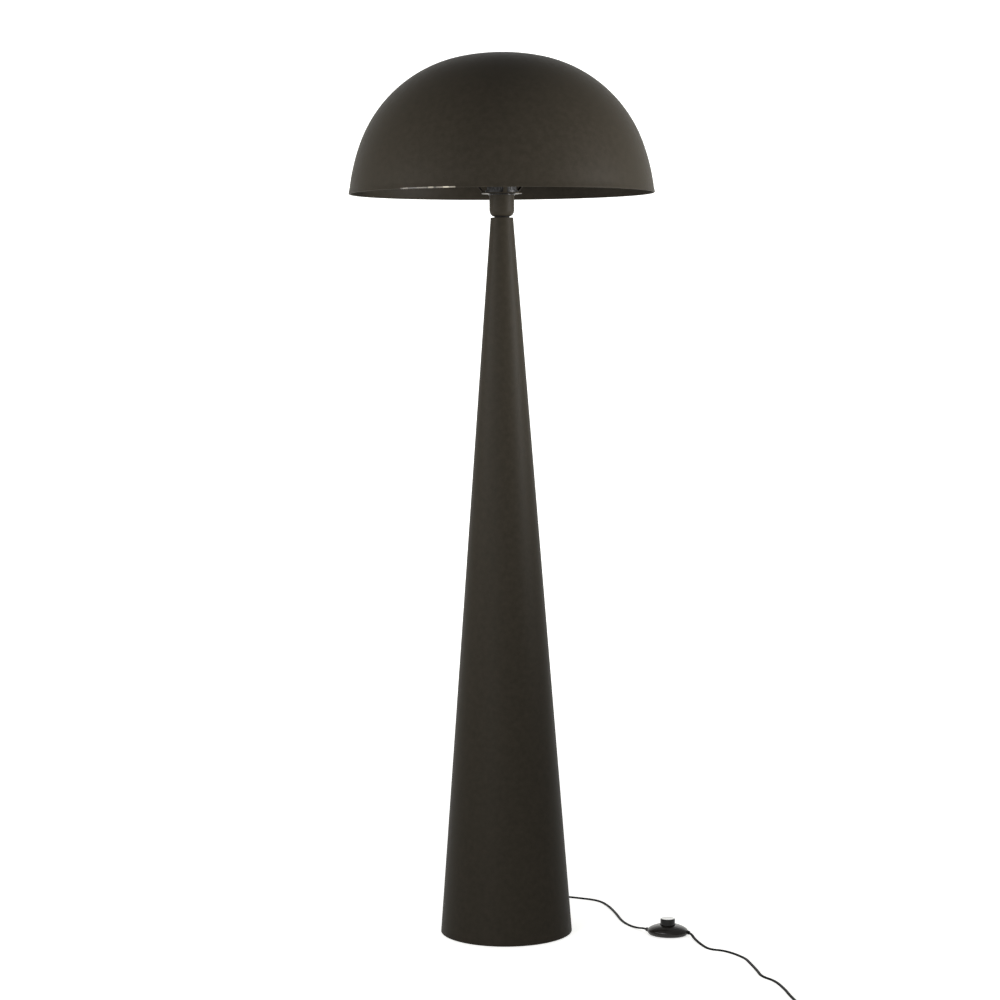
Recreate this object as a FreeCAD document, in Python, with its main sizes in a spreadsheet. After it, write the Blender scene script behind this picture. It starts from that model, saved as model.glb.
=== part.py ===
import FreeCAD, Part
import math
import os
import re
import Sketcher

# Mushroom floor lamp. The origin is at the middle of the base on the floor, +Z is up, -Y is the front.
# A cone of sheet steel carries a lampholder, and a spun dome hangs on the holder's thread by a
# three-armed spider. The flex leaves at the back, runs through a foot switch and ends in a plug.

SIZES = {
    # base and stem
    "cone_base_radius": 113.0,
    "cone_top_radius": 19.2,
    "cone_height": 1224.7,
    "cone_wall": 1.2,
    "cone_top_thickness": 3.0,
    "cone_edge_radius": 2.0,
    "floor_gap": 1.0,
    "pad_thickness": 2.5,
    "pad_inset": 4.0,
    "pad_width": 14.0,
    "plate_thickness": 3.0,
    "plate_clearance": 0.8,
    "plate_hole_radius": 12.0,
    "ballast_height": 22.0,
    "ballast_clearance": 4.0,
    "ballast_bore_radius": 14.0,
    "lead_slot_width": 16.0,
    "bolt_inset": 29.0,
    "bolt_count": 3,
    "bolt_radius": 2.5,
    "bolt_play": 0.4,
    "bolt_head_radius": 4.6,
    "bolt_head_height": 2.0,
    "bracket_width": 16.0,
    "bracket_thickness": 2.0,
    "bracket_reach": 32.0,
    "bracket_height": 20.0,
    "bracket_gap": 0.4,
    # flex and its bush in the cone
    "flex_radius": 2.5,
    "flex_play": 0.05,
    "thread_fit": 0.05,
    "flex_exit_height": 16.0,
    "bush_groove_radius": 5.0,
    "bush_fit": 0.2,
    "bush_flange_radius": 7.5,
    "bush_flange_thickness": 1.5,
    "bush_slope_room": 0.8,
    "bush_tail_length": 19.5,
    "bush_tail_radius": 3.6,
    "lead_bend_radius": 25.0,
    # fixing of the lampholder on the cone
    "nipple_radius": 5.0,
    "nipple_bore_radius": 3.6,
    "nipple_play": 0.15,
    "nipple_tail": 3.0,
    "stem_washer_radius": 14.0,
    "stem_washer_thickness": 2.0,
    "nut_width": 14.0,
    "nut_thickness": 4.0,
    "neck_washer_radius": 9.0,
    "neck_washer_thickness": 1.8,
    # lampholder
    "cup_radius": 21.0,
    "cup_height": 36.0,
    "cup_wall": 1.0,
    "cup_corner_radius": 11.75,
    "holder_play": 0.2,
    "block_base_height": 14.0,
    "block_step_height": 22.0,
    "block_top_height": 26.0,
    "block_rim_height": 3.5,
    "socket_bore_radius": 14.6,
    "shell_radius": 13.7,
    "shell_wall": 0.5,
    "shell_height": 21.0,
    "holder_flange_radius": 22.8,
    "holder_flange_thickness": 2.1,
    "holder_thread_radius": 19.8,
    "holder_thread_length": 22.0,
    "contact_width": 5.0,
    "contact_thickness": 0.6,
    "contact_length": 12.0,
    "contact_rise": 3.0,
    "terminal_spacing": 11.0,
    "terminal_screw_radius": 1.5,
    "terminal_head_radius": 2.6,
    "terminal_head_height": 1.4,
    "terminal_depth": 6.0,
    # shade
    "rim_radius": 257.4,
    "dome_height": 235.4,
    "skirt_radius": 336.0,
    "crown_angle": 11.9,
    "shoulder_angle": 69.64,
    "rim_angle": 84.3,
    "shade_wall": 1.2,
    "hem_radius": 1.5,
    "hem_step": 0.7,
    "spider_disc_radius": 34.0,
    "spider_thickness": 1.5,
    "spider_play": 0.3,
    "arm_count": 3,
    "arm_tab_gap": 0.8,
    "arm_edge_gap": 0.5,
    "arm_width": 6.5,
    "arm_thickness": 2.0,
    "arm_foot_angle": 45.4,
    "arm_foot_length": 14.0,
    "arm_foot_gap": 0.3,
    "arm_turn": -81.0,
    "ring_radius": 28.2,
    "ring_flange_height": 4.0,
    "ring_collar_radius": 25.0,
    "ring_height": 12.0,
    "ring_play": 0.15,
    # foot switch, in its own frame with the long axis along X
    "switch_x": 276.0,
    "switch_y": -38.5,
    "switch_turn": -17.0,
    "switch_half_length": 36.5,
    "switch_half_width": 22.75,
    "switch_end_radius": 12.0,
    "switch_seam_height": 8.5,
    "switch_wall": 1.8,
    "switch_skirt_radius": 5.5,
    "shoulder_length": 26.5,
    "shoulder_width": 18.0,
    "shoulder_end_radius": 13.0,
    "shoulder_height": 14.0,
    "collar_radius": 13.0,
    "collar_height": 17.4,
    "foot_radius": 3.5,
    "foot_thickness": 1.5,
    "foot_spacing_length": 34.0,
    "foot_spacing_width": 14.0,
    "button_radius": 10.85,
    "button_play": 0.25,
    "button_top": 29.0,
    "button_wall": 1.8,
    "button_edge_radius": 1.2,
    "button_flange_radius": 12.6,
    "button_flange_thickness": 1.6,
    "button_flange_room": 1.0,
    "oval_margin": 0.2,
    "button_stop_gap": 0.3,
    "roof_height": 14.6,
    "spring_radius": 6.0,
    "spring_wire": 1.0,
    "spring_post_radius": 4.4,
    "spring_post_height": 3.0,
    "switch_bush_radius": 3.4,
    "switch_bush_length": 9.0,
    "switch_bush_offset": 35.0,
    "switch_bush_skew": 45.0,
    "switch_flex_height": 6.6,
    "housing_screw_offset": 21.5,
    "housing_screw_radius": 1.4,
    "housing_head_radius": 2.6,
    "housing_head_height": 1.6,
    "housing_boss_radius": 3.2,
    "housing_boss_height": 4.8,
    "housing_thread_depth": 3.6,
    "terminal_length": 6.0,
    "terminal_width": 4.0,
    "terminal_height": 4.5,
    "terminal_offset": 14.0,
    "terminal_side": 12.0,
    # plug
    "plug_axis_height": 7.0,
    "plug_relief_length": 22.0,
    "plug_relief_radius": 3.2,
    "plug_neck_radius": 5.4,
    "plug_length": 36.0,
    "plug_half_width": 13.0,
    "plug_neck_half_width": 7.0,
    "plug_shoulder": 12.0,
    "plug_edge_radius": 3.0,
    "pin_radius": 2.0,
    "pin_length": 19.0,
    "pin_root": 5.0,
    "pin_spacing": 18.6,
    "pin_play": 0.05,
    # put-away coil
    "coil_x": 489.0,
    "coil_y": -518.0,
    "coil_outer_radius": 37.0,
    "coil_step": 6.3,
    "coil_layer_turns": 3,
    "coil_rise": 6.0,
    "flex_lie_height": 2.6,
}

V = FreeCAD.Vector
doc = FreeCAD.newDocument("mushroom_floor_lamp")
sizes = doc.addObject("Spreadsheet::Sheet", "sizes")
for row, (alias, value) in enumerate(SIZES.items(), start=1):
    sizes.set(f"A{row}", alias)
    sizes.set(f"B{row}", str(value))
    sizes.setAlias(f"B{row}", alias)
doc.recompute()
pieces = []

# Heights that follow from the stack of pieces, as expressions.
SLOPE = "((cone_base_radius - cone_top_radius) / (cone_height - cone_edge_radius - floor_gap))"
PAD_RADIUS = "(cone_base_radius - pad_inset)"
BOLT_CIRCLE = "(cone_base_radius - bolt_inset)"
PLATE_TOP = "(pad_thickness + plate_thickness)"
BALLAST_TOP = f"({PLATE_TOP} + ballast_height)"
CONE_CEILING = "(cone_height - cone_top_thickness)"
CUP_FLOOR = "(cone_height + neck_washer_thickness)"
SHELL_SEAT = "(block_top_height + block_rim_height)"
HOLDER_THREAD_BASE = "(cup_height + holder_flange_thickness)"
RIM_PLANE = f"({CUP_FLOOR} + {HOLDER_THREAD_BASE})"
FLANGE_TOP = "(roof_height - button_stop_gap)"
FLANGE_BASE = f"({FLANGE_TOP} - button_flange_thickness)"
TRAY_FLOOR = "(foot_thickness + switch_wall)"
BUTTON_CEILING = "(button_top - button_wall)"


def bound(text):
    """The expression with the sheet's name before each size."""
    return re.sub(r"[a-z_]{4,}", lambda m: "sizes." + m.group() if m.group() in SIZES else m.group(), text)


def number(text):
    value = sizes.evalExpression(bound(text))
    return float(getattr(value, "Value", value))


def tie(target, prop, text):
    target.setExpression(prop, bound(text))


def place(piece, x="0", y="0", z="0", turn="0"):
    """Set a piece at x, y, z, turned about the upright axis."""
    tie(piece, "Placement.Base.x", x)
    tie(piece, "Placement.Base.y", y)
    tie(piece, "Placement.Base.z", z)
    if turn != "0":
        piece.Placement = FreeCAD.Placement(piece.Placement.Base, FreeCAD.Rotation(V(0, 0, 1), 1))
        tie(piece, "Placement.Rotation.Angle", turn)


def on_switch(piece, z="0"):
    place(piece, "switch_x", "switch_y", z, "switch_turn")


# ---------------------------------------------------------------- sketches


def origin_feature(body, role):
    return next(item for item in body.Origin.OriginFeatures if item.Role == role)


def sketch_on(body, name, plane, offset="0"):
    sketch = body.newObject("Sketcher::SketchObject", f"{body.Name}_{name}")
    sketch.AttachmentSupport = [(origin_feature(body, plane + "_Plane"), "")]
    sketch.MapMode = "FlatFace"
    if offset != "0":
        tie(sketch, "AttachmentOffset.Base.z", offset)
    return sketch


def hold(sketch, element, point, across, up):
    """Fix one point of a sketch element at expressions across and up."""
    for kind, text, axis in (("DistanceX", across, -2), ("DistanceY", up, -1)):
        if text == "0":
            sketch.addConstraint(Sketcher.Constraint("PointOnObject", element, point, axis))
        else:
            rule = Sketcher.Constraint(kind, -1, 1, element, point, number(text))
            tie(sketch, f"Constraints[{sketch.addConstraint(rule)}]", text)


def circle(sketch, across, up, radius):
    centre = V(number(across), number(up), 0)
    element = sketch.addGeometry(Part.Circle(centre, V(0, 0, 1), number(radius)))
    hold(sketch, element, 3, across, up)
    rule = Sketcher.Constraint("Radius", element, number(radius))
    tie(sketch, f"Constraints[{sketch.addConstraint(rule)}]", radius)


def level_axis(sketch, height, reach):
    """A level construction line from the upright axis, for a sketch to turn about."""
    start = V(0, number(height), 0)
    end = V(number(reach), number(height), 0)
    line = sketch.addGeometry(Part.LineSegment(start, end), True)
    hold(sketch, line, 1, "0", height)
    hold(sketch, line, 2, reach, height)


def bend_between(start, end, radius):
    """The arc from start to end that turns left, as a sketch element."""
    half = (end - start) * 0.5
    depth = math.sqrt(radius**2 - half.Length**2)
    centre = start + half + V(-half.y, half.x, 0).normalize() * depth
    first = math.atan2(start.y - centre.y, start.x - centre.x)
    last = math.atan2(end.y - centre.y, end.x - centre.x)
    if last < first:
        last += 2 * math.pi
    return Part.ArcOfCircle(Part.Circle(centre, V(0, 0, 1), radius), first, last)


def outline(sketch, corners):
    """Draw a closed outline through (across, up) corners.

    A third value is the radius of an arc to the next corner, which turns left, or right if it starts
    with a minus sign.
    """
    at = [V(number(corner[0]), number(corner[1]), 0) for corner in corners]
    ends = []
    for index, corner in enumerate(corners):
        start = at[index]
        end = at[(index + 1) % len(at)]
        if len(corner) == 2:
            element = sketch.addGeometry(Part.LineSegment(start, end))
            ends.append((element, 1, 2))
            continue
        radius = corner[2].lstrip("-")
        right = corner[2].startswith("-")
        arc = bend_between(end, start, number(radius)) if right else bend_between(start, end, number(radius))
        element = sketch.addGeometry(arc)
        ends.append((element, 2, 1) if right else (element, 1, 2))
        rule = Sketcher.Constraint("Radius", element, number(radius))
        tie(sketch, f"Constraints[{sketch.addConstraint(rule)}]", radius)
    for index, corner in enumerate(corners):
        before = ends[index - 1]
        element, first, _ = ends[index]
        sketch.addConstraint(Sketcher.Constraint("Coincident", before[0], before[2], element, first))
        hold(sketch, element, first, corner[0], corner[1])


def oval(sketch, half_length, half_width, end_radius):
    """A four-arc oval: two end arcs and two side arcs that meet them smoothly."""
    side = f"(((({half_length}) - ({end_radius}))^2 + ({half_width})^2 - ({end_radius})^2)"
    side += f" / (2 * (({half_width}) - ({end_radius}))))"
    reach = f"(({half_length}) - ({end_radius}))"
    drop = f"({side} - ({half_width}))"
    lean = f"(({end_radius}) / ({side} - ({end_radius})))"
    across = f"({reach} + {reach} * {lean})"
    up = f"({drop} * {lean})"
    outline(
        sketch,
        [
            (across, up, side),
            (f"-{across}", up, f"({end_radius})"),
            (f"-{across}", f"-{up}", side),
            (across, f"-{up}", f"({end_radius})"),
        ],
    )


# ---------------------------------------------------------------- features


def new_body(label):
    body = doc.addObject("PartDesign::Body", label)
    body.AllowCompound = True
    pieces.append(body)
    return body


def revolve(body, name, corners):
    sketch = sketch_on(body, name + "_outline", "XZ")
    outline(sketch, corners)
    spin = body.newObject("PartDesign::Revolution", f"{body.Name}_{name}")
    spin.Profile = sketch
    spin.ReferenceAxis = (sketch, ["V_Axis"])
    spin.Angle = 360
    return spin


def turned(label, corners, height="0"):
    body = new_body(label)
    revolve(body, "turned", corners)
    place(body, z=height)
    return body


def tube_outline(outer, inner, base, top):
    return [(inner, base), (outer, base), (outer, top), (inner, top)]


def pad(body, name, sketch, length, both_ways=False):
    feature = body.newObject("PartDesign::Pad", f"{body.Name}_{name}")
    feature.Profile = sketch
    feature.SideType = "Symmetric" if both_ways else "One side"
    tie(feature, "Length", length)
    return feature


def cut(body, name, sketch, length=None, reverse=False, both_ways=False):
    """Pocket a sketch out of the body and see that material went."""
    doc.recompute()
    before = body.Shape.Volume
    feature = body.newObject("PartDesign::Pocket", f"{body.Name}_{name}")
    feature.Profile = sketch
    feature.Reversed = reverse
    feature.SideType = "Symmetric" if both_ways else "One side"
    if length is None:
        feature.Type = "ThroughAll"
    else:
        tie(feature, "Length", length)
    doc.recompute()
    if not body.Shape.Volume < before - 1e-3:
        raise ValueError(f"{feature.Name} cut nothing")
    return feature


def round_edges(body, name, radius, chosen):
    """Fillet the edges of the body's last feature for which chosen(edge) holds."""
    doc.recompute()
    last = body.Tip
    names = [f"Edge{i}" for i, edge in enumerate(last.Shape.Edges, start=1) if chosen(edge)]
    feature = body.newObject("PartDesign::Fillet", f"{body.Name}_{name}")
    feature.Base = (last, names)
    tie(feature, "Radius", radius)
    return feature


def lies_at(height):
    """A test for edges that lie level at a height in the piece's own frame."""
    level = number(height)
    return lambda edge: all(abs(vertex.Z - level) < 1e-6 for vertex in edge.Vertexes) and (
        abs(edge.BoundBox.ZMax - edge.BoundBox.ZMin) < 1e-6
    )


def repeat_round(body, name, feature, count):
    pattern = body.newObject("PartDesign::PolarPattern", f"{body.Name}_{name}")
    pattern.Originals = [feature]
    pattern.Axis = (origin_feature(body, "Z_Axis"), [""])
    pattern.Angle = 360
    tie(pattern, "Occurrences", count)
    body.Tip = pattern
    return pattern


# ---------------------------------------------------------------- base and stem


def cone_inside(height):
    """Inner radius of the cone at a height."""
    return f"(cone_base_radius - cone_wall - ({height} - floor_gap) * {SLOPE})"


def make_cone_body():
    body = turned(
        "cone_body",
        [
            ("cone_base_radius", "floor_gap"),
            ("cone_top_radius", "cone_height - cone_edge_radius", "cone_edge_radius"),
            ("cone_top_radius - cone_edge_radius", "cone_height"),
            ("nipple_radius + nipple_play", "cone_height"),
            ("nipple_radius + nipple_play", CONE_CEILING),
            (cone_inside(CONE_CEILING), CONE_CEILING),
            ("cone_base_radius - cone_wall", "floor_gap"),
        ],
    )
    hole = sketch_on(body, "bush_hole", "XZ")
    circle(hole, "0", "flex_exit_height", "bush_groove_radius + bush_fit")
    cut(body, "bush_cut", hole, "cone_base_radius + cone_wall")


def make_base():
    turned("base_pad", tube_outline(PAD_RADIUS, f"{PAD_RADIUS} - pad_width", "0", "pad_thickness"))
    plate_radius = "cone_base_radius - cone_wall - plate_clearance"
    plate = turned("base_plate", tube_outline(plate_radius, "plate_hole_radius", "pad_thickness", PLATE_TOP))
    bolt_holes(plate)
    foot = f"{cone_inside(PLATE_TOP)} - ballast_clearance"
    crown = f"{cone_inside(BALLAST_TOP)} - ballast_clearance"
    ballast = turned(
        "ballast",
        [
            ("ballast_bore_radius", PLATE_TOP),
            (foot, PLATE_TOP),
            (crown, BALLAST_TOP),
            ("ballast_bore_radius", BALLAST_TOP),
        ],
    )
    bolt_holes(ballast)
    slot = sketch_on(ballast, "lead_slot", "XY", PLATE_TOP)
    half = "lead_slot_width / 2"
    far = "cone_base_radius + lead_slot_width"
    outline(slot, [(half, "0"), (half, far), (f"-{half}", far), (f"-{half}", "0")])
    cut(ballast, "slot_cut", slot, reverse=True)


def bolt_holes(body):
    hole = sketch_on(body, "bolt_hole", "XY")
    circle(hole, "0", "-" + BOLT_CIRCLE, "bolt_radius + bolt_play")
    cut_hole = cut(body, "bolt_cut", hole, "cone_height", reverse=True)
    repeat_round(body, "bolt_pattern", cut_hole, "bolt_count")


def make_brackets():
    """Angle brackets on the cone's wall that the base bolts screw into."""
    body = new_body("base_brackets")
    tab_top = f"({BALLAST_TOP} + bracket_thickness)"
    leg_top = f"({BALLAST_TOP} + bracket_height)"
    wall_low = f"({cone_inside(BALLAST_TOP)} - bracket_gap)"
    wall_high = f"({cone_inside(leg_top)} - bracket_gap)"
    wall_tab = f"({cone_inside(tab_top)} - bracket_gap - bracket_thickness)"
    side = sketch_on(body, "side", "YZ")
    outline(
        side,
        [
            (f"-({wall_low} - bracket_reach)", BALLAST_TOP),
            (f"-({wall_low} - bracket_reach)", tab_top),
            (f"-{wall_tab}", tab_top),
            (f"-({wall_high} - bracket_thickness)", leg_top),
            (f"-{wall_high}", leg_top),
            (f"-{wall_low}", BALLAST_TOP),
        ],
    )
    angle = pad(body, "angle", side, "bracket_width", both_ways=True)
    hole = sketch_on(body, "thread", "XY")
    circle(hole, "0", "-" + BOLT_CIRCLE, "bolt_radius + thread_fit")
    thread = cut(body, "thread_cut", hole, tab_top, reverse=True)
    pattern = repeat_round(body, "ring_of_three", angle, "bolt_count")
    pattern.Originals = [angle, thread]


def make_bolts():
    body = new_body("base_bolts")
    head = sketch_on(body, "head", "XY", "pad_thickness - bolt_head_height")
    circle(head, "0", "-" + BOLT_CIRCLE, "bolt_head_radius")
    head_pad = pad(body, "head_pad", head, "bolt_head_height")
    shank = sketch_on(body, "shank", "XY", "pad_thickness")
    circle(shank, "0", "-" + BOLT_CIRCLE, "bolt_radius")
    shank_pad = pad(body, "shank_pad", shank, "plate_thickness + ballast_height + 2 * bracket_thickness")
    pattern = repeat_round(body, "ring_of_three", head_pad, "bolt_count")
    pattern.Originals = [head_pad, shank_pad]


def make_cord_bush():
    """Rubber bush in the cone's back: a groove for the wall and a tapered tail round the flex."""
    body = new_body("cord_bush")
    wall_out = "(cone_base_radius - (flex_exit_height - floor_gap) * " + SLOPE + ")"
    groove_start = f"({wall_out} - cone_wall - bush_slope_room)"
    groove_end = f"({wall_out} + bush_slope_room)"
    bore = "flex_radius + flex_play"
    profile = sketch_on(body, "outline", "YZ")
    up = "flex_exit_height + "
    outline(
        profile,
        [
            (f"{groove_start} - bush_flange_thickness", up + bore),
            (f"{groove_end} + bush_tail_length", up + bore),
            (f"{groove_end} + bush_tail_length", up + "bush_tail_radius"),
            (f"{groove_end} + bush_flange_thickness", up + "bush_groove_radius"),
            (f"{groove_end} + bush_flange_thickness", up + "bush_flange_radius"),
            (groove_end, up + "bush_flange_radius"),
            (groove_end, up + "bush_groove_radius"),
            (groove_start, up + "bush_groove_radius"),
            (groove_start, up + "bush_flange_radius"),
            (f"{groove_start} - bush_flange_thickness", up + "bush_flange_radius"),
        ],
    )
    level_axis(profile, "flex_exit_height", "bush_flange_radius")
    spin = body.newObject("PartDesign::Revolution", "cord_bush_turned")
    spin.Profile = profile
    spin.ReferenceAxis = (profile, ["Axis0"])
    spin.Angle = 360
    return f"{groove_end} + bush_tail_length"


def hex_nut(label, base):
    body = new_body(label)
    across = sketch_on(body, "hexagon", "XY")
    corner = "nut_width / sqrt(3)"
    turns = [(f"{corner} * cos({60 * i})", f"{corner} * sin({60 * i})") for i in range(6)]
    turns[0] = (corner, "0")
    turns[3] = (f"-{corner}", "0")
    outline(across, turns)
    pad(body, "nut", across, "nut_thickness")
    bore = sketch_on(body, "bore", "XY")
    circle(bore, "0", "0", "nipple_radius + thread_fit")
    cut(body, "bore_cut", bore, "nut_thickness", reverse=True)
    place(body, z=base)


def make_stem_top():
    under = f"{CONE_CEILING} - stem_washer_thickness"
    bore = "nipple_radius + nipple_play"
    turned("stem_washer", tube_outline("stem_washer_radius", bore, "0", "stem_washer_thickness"), under)
    hex_nut("stem_nut", f"{under} - nut_thickness")
    cup_nut_base = f"({CUP_FLOOR} + cup_wall)"
    hex_nut("cup_nut", cup_nut_base)
    nipple_base = f"({under} - nut_thickness - nipple_tail)"
    nipple_top = f"({cup_nut_base} + nut_thickness + nipple_tail - {nipple_base})"
    tube = tube_outline("nipple_radius", "nipple_bore_radius", "0", nipple_top)
    turned("threaded_nipple", tube, nipple_base)
    washer = tube_outline("neck_washer_radius", bore, "0", "neck_washer_thickness")
    turned("neck_washer", washer, "cone_height")


# ---------------------------------------------------------------- lampholder, from the cup's underside up


def make_lampholder():
    inner = "cup_radius - cup_wall"
    inner_corner = "(cup_corner_radius - cup_wall)"
    turned(
        "lampholder_cup",
        [
            ("nipple_radius + nipple_play", "0"),
            ("cup_radius - cup_corner_radius", "0", "cup_corner_radius"),
            ("cup_radius", "cup_corner_radius"),
            ("cup_radius", "cup_height"),
            (inner, "cup_height"),
            (inner, "cup_corner_radius", "-" + inner_corner),
            (f"{inner} - {inner_corner}", "cup_wall"),
            ("nipple_radius + nipple_play", "cup_wall"),
        ],
        CUP_FLOOR,
    )
    block = turned(
        "terminal_block",
        [
            ("flex_radius + flex_play", "block_base_height"),
            (f"{inner} - holder_play", "block_base_height"),
            (f"{inner} - holder_play", "block_step_height"),
            ("socket_bore_radius - holder_play", "block_step_height"),
            ("socket_bore_radius - holder_play", SHELL_SEAT),
            ("shell_radius - shell_wall", SHELL_SEAT),
            ("shell_radius - shell_wall", "block_top_height"),
            ("flex_radius + flex_play", "block_top_height"),
        ],
        CUP_FLOOR,
    )
    for side in ("", "-"):
        name = "left" if side else "right"
        hole = sketch_on(block, name + "_terminal", "XY", "block_base_height")
        circle(hole, f"{side}terminal_spacing", "0", "terminal_screw_radius + thread_fit")
        cut(block, name + "_terminal_cut", hole, "terminal_depth", reverse=True)
    turned(
        "lampholder_body",
        [
            ("socket_bore_radius", "block_step_height"),
            (f"{inner} - holder_play", "block_step_height"),
            (f"{inner} - holder_play", "cup_height"),
            ("holder_flange_radius", "cup_height"),
            ("holder_flange_radius", HOLDER_THREAD_BASE),
            ("holder_thread_radius", HOLDER_THREAD_BASE),
            ("holder_thread_radius", f"{HOLDER_THREAD_BASE} + holder_thread_length"),
            ("socket_bore_radius", f"{HOLDER_THREAD_BASE} + holder_thread_length"),
        ],
        CUP_FLOOR,
    )
    turned(
        "screw_shell",
        tube_outline("shell_radius + shell_wall", "shell_radius", "0", "shell_height"),
        f"{CUP_FLOOR} + {SHELL_SEAT}",
    )
    contact = new_body("centre_contact")
    side = sketch_on(contact, "side", "XZ")
    tongue_end = "contact_length / 4"
    outline(
        side,
        [
            ("contact_length / 2", "0"),
            ("contact_length / 2", "contact_thickness"),
            (tongue_end, "contact_rise"),
            (f"-{tongue_end}", "contact_rise"),
            (f"-{tongue_end}", "contact_rise - contact_thickness"),
            (f"{tongue_end} - contact_thickness", "contact_rise - contact_thickness"),
            ("contact_length / 2 - 2 * contact_thickness", "0"),
        ],
    )
    pad(contact, "tongue", side, "contact_width", both_ways=True)
    place(contact, z=f"{CUP_FLOOR} + block_top_height")
    screws = new_body("terminal_screws")
    for side in ("", "-"):
        name = "left" if side else "right"
        head = sketch_on(screws, name + "_head", "XY", "block_base_height - terminal_head_height")
        circle(head, f"{side}terminal_spacing", "0", "terminal_head_radius")
        pad(screws, name + "_head_pad", head, "terminal_head_height")
        shank = sketch_on(screws, name + "_shank", "XY", "block_base_height")
        circle(shank, f"{side}terminal_spacing", "0", "terminal_screw_radius")
        pad(screws, name + "_shank_pad", shank, "terminal_depth - terminal_head_height")
    place(screws, z=CUP_FLOOR)


# ---------------------------------------------------------------- shade, from the rim's plane up

# The dome's section is three arcs that meet smoothly: a flat crown, a tighter shoulder and a long skirt.
# The skirt's radius and the angles where the arcs meet are set. The other two radii follow from them.
RISE = "(dome_height - hem_radius)"
ACROSS = "(rim_radius - skirt_radius * (sin(rim_angle) - sin(shoulder_angle)))"
UP = f"({RISE} - skirt_radius * (cos(shoulder_angle) - cos(rim_angle)))"
SINES = "(sin(shoulder_angle) - sin(crown_angle))"
COSINES = "(cos(crown_angle) - cos(shoulder_angle))"
SPREAD = f"(sin(crown_angle) * {COSINES} - {SINES} * (1 - cos(crown_angle)))"
CROWN_RADIUS = f"(({ACROSS} * {COSINES} - {SINES} * {UP}) / {SPREAD})"
SHOULDER_RADIUS = f"((sin(crown_angle) * {UP} - (1 - cos(crown_angle)) * {ACROSS}) / {SPREAD})"
SHOULDER_ACROSS = f"(({CROWN_RADIUS} - {SHOULDER_RADIUS}) * sin(crown_angle))"
SHOULDER_UP = f"(dome_height - {CROWN_RADIUS} + ({CROWN_RADIUS} - {SHOULDER_RADIUS}) * cos(crown_angle))"


def on_shoulder(angle, inset):
    """A point on the dome's shoulder arc, an inset inside its outer face."""
    radius = f"({SHOULDER_RADIUS} - {inset})"
    return (
        f"({SHOULDER_ACROSS} + {radius} * sin({angle}))",
        f"({SHOULDER_UP} + {radius} * cos({angle}))",
    )


def make_shade_dome():
    rim_in = ("rim_radius - shade_wall * sin(rim_angle)", "hem_radius - shade_wall * cos(rim_angle)")
    skirt_top = on_shoulder("shoulder_angle", "0")
    skirt_top_in = on_shoulder("shoulder_angle", "shade_wall")
    crown_edge = on_shoulder("crown_angle", "0")
    crown_edge_in = on_shoulder("crown_angle", "shade_wall")
    body = turned(
        "shade_dome",
        [
            ("rim_radius", "hem_radius", "skirt_radius"),
            (*skirt_top, SHOULDER_RADIUS),
            (*crown_edge, CROWN_RADIUS),
            ("0", "dome_height"),
            ("0", "dome_height - shade_wall", f"-({CROWN_RADIUS} - shade_wall)"),
            (*crown_edge_in, f"-({SHOULDER_RADIUS} - shade_wall)"),
            (*skirt_top_in, "-(skirt_radius - shade_wall)"),
            rim_in,
        ],
        RIM_PLANE,
    )
    bead = sketch_on(body, "hem_outline", "XZ")
    circle(bead, "rim_radius - hem_step", "hem_radius", "hem_radius")
    hem = body.newObject("PartDesign::Revolution", "shade_dome_hem")
    hem.Profile = bead
    hem.ReferenceAxis = (bead, ["V_Axis"])
    hem.Angle = 360


def make_shade_spider():
    """Disc that the shade ring clamps on the lampholder's flange."""
    bore = "holder_thread_radius + spider_play"
    turned("shade_spider", tube_outline("spider_disc_radius", bore, "0", "spider_thickness"), RIM_PLANE)


def make_spider_arms():
    """Three strips welded on the disc, whose turned-up feet follow the dome's shoulder and hold it."""
    body = new_body("spider_arms")
    reach = f"({SHOULDER_RADIUS} - shade_wall - arm_foot_gap)"
    half_angle = f"(arm_thickness / 2 / {reach} * 180 / pi)"
    foot_span = f"(arm_foot_length / {reach} * 180 / pi)"
    outer = "(shade_wall + arm_foot_gap)"
    inner = "(shade_wall + arm_foot_gap + arm_thickness)"
    corner = on_shoulder(f"(arm_foot_angle + {half_angle})", outer)
    toe = on_shoulder(f"(arm_foot_angle - {foot_span})", outer)
    toe_in = on_shoulder(f"(arm_foot_angle - {foot_span})", inner)
    inside = on_shoulder(f"(arm_foot_angle - {half_angle})", inner)
    tab_start = "ring_radius + arm_tab_gap"
    bend = "spider_disc_radius - arm_edge_gap"
    tab_top = "spider_thickness + arm_thickness"
    side = sketch_on(body, "side", "XZ")
    outline(
        side,
        [
            (tab_start, "spider_thickness"),
            (bend, "spider_thickness"),
            (*corner, reach),
            (*toe,),
            (*toe_in, f"-({reach} - arm_thickness)"),
            inside,
            (f"{bend} - arm_thickness / 2", tab_top),
            (tab_start, tab_top),
        ],
    )
    arm = pad(body, "arm", side, "arm_width", both_ways=True)
    repeat_round(body, "ring_of_arms", arm, "arm_count")
    place(body, z=RIM_PLANE, turn="arm_turn")


def make_shade_ring():
    bore = "holder_thread_radius + ring_play"
    turned(
        "shade_ring",
        [
            (bore, "0"),
            ("ring_radius", "0"),
            ("ring_radius", "ring_flange_height"),
            ("ring_collar_radius", "ring_flange_height"),
            ("ring_collar_radius", "ring_height"),
            (bore, "ring_height"),
        ],
        f"{RIM_PLANE} + spider_thickness",
    )


# ---------------------------------------------------------------- foot switch


def bush_path(side):
    """Centre and heading of a bush in the switch's frame; side is 1 at the right end, -1 at the left."""
    skew = math.radians(number("switch_bush_skew"))
    heading = V(side * math.cos(skew), -side * math.sin(skew), 0)
    centre = V(side * number("switch_bush_offset"), 0, number("switch_flex_height"))
    return centre, heading


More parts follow.
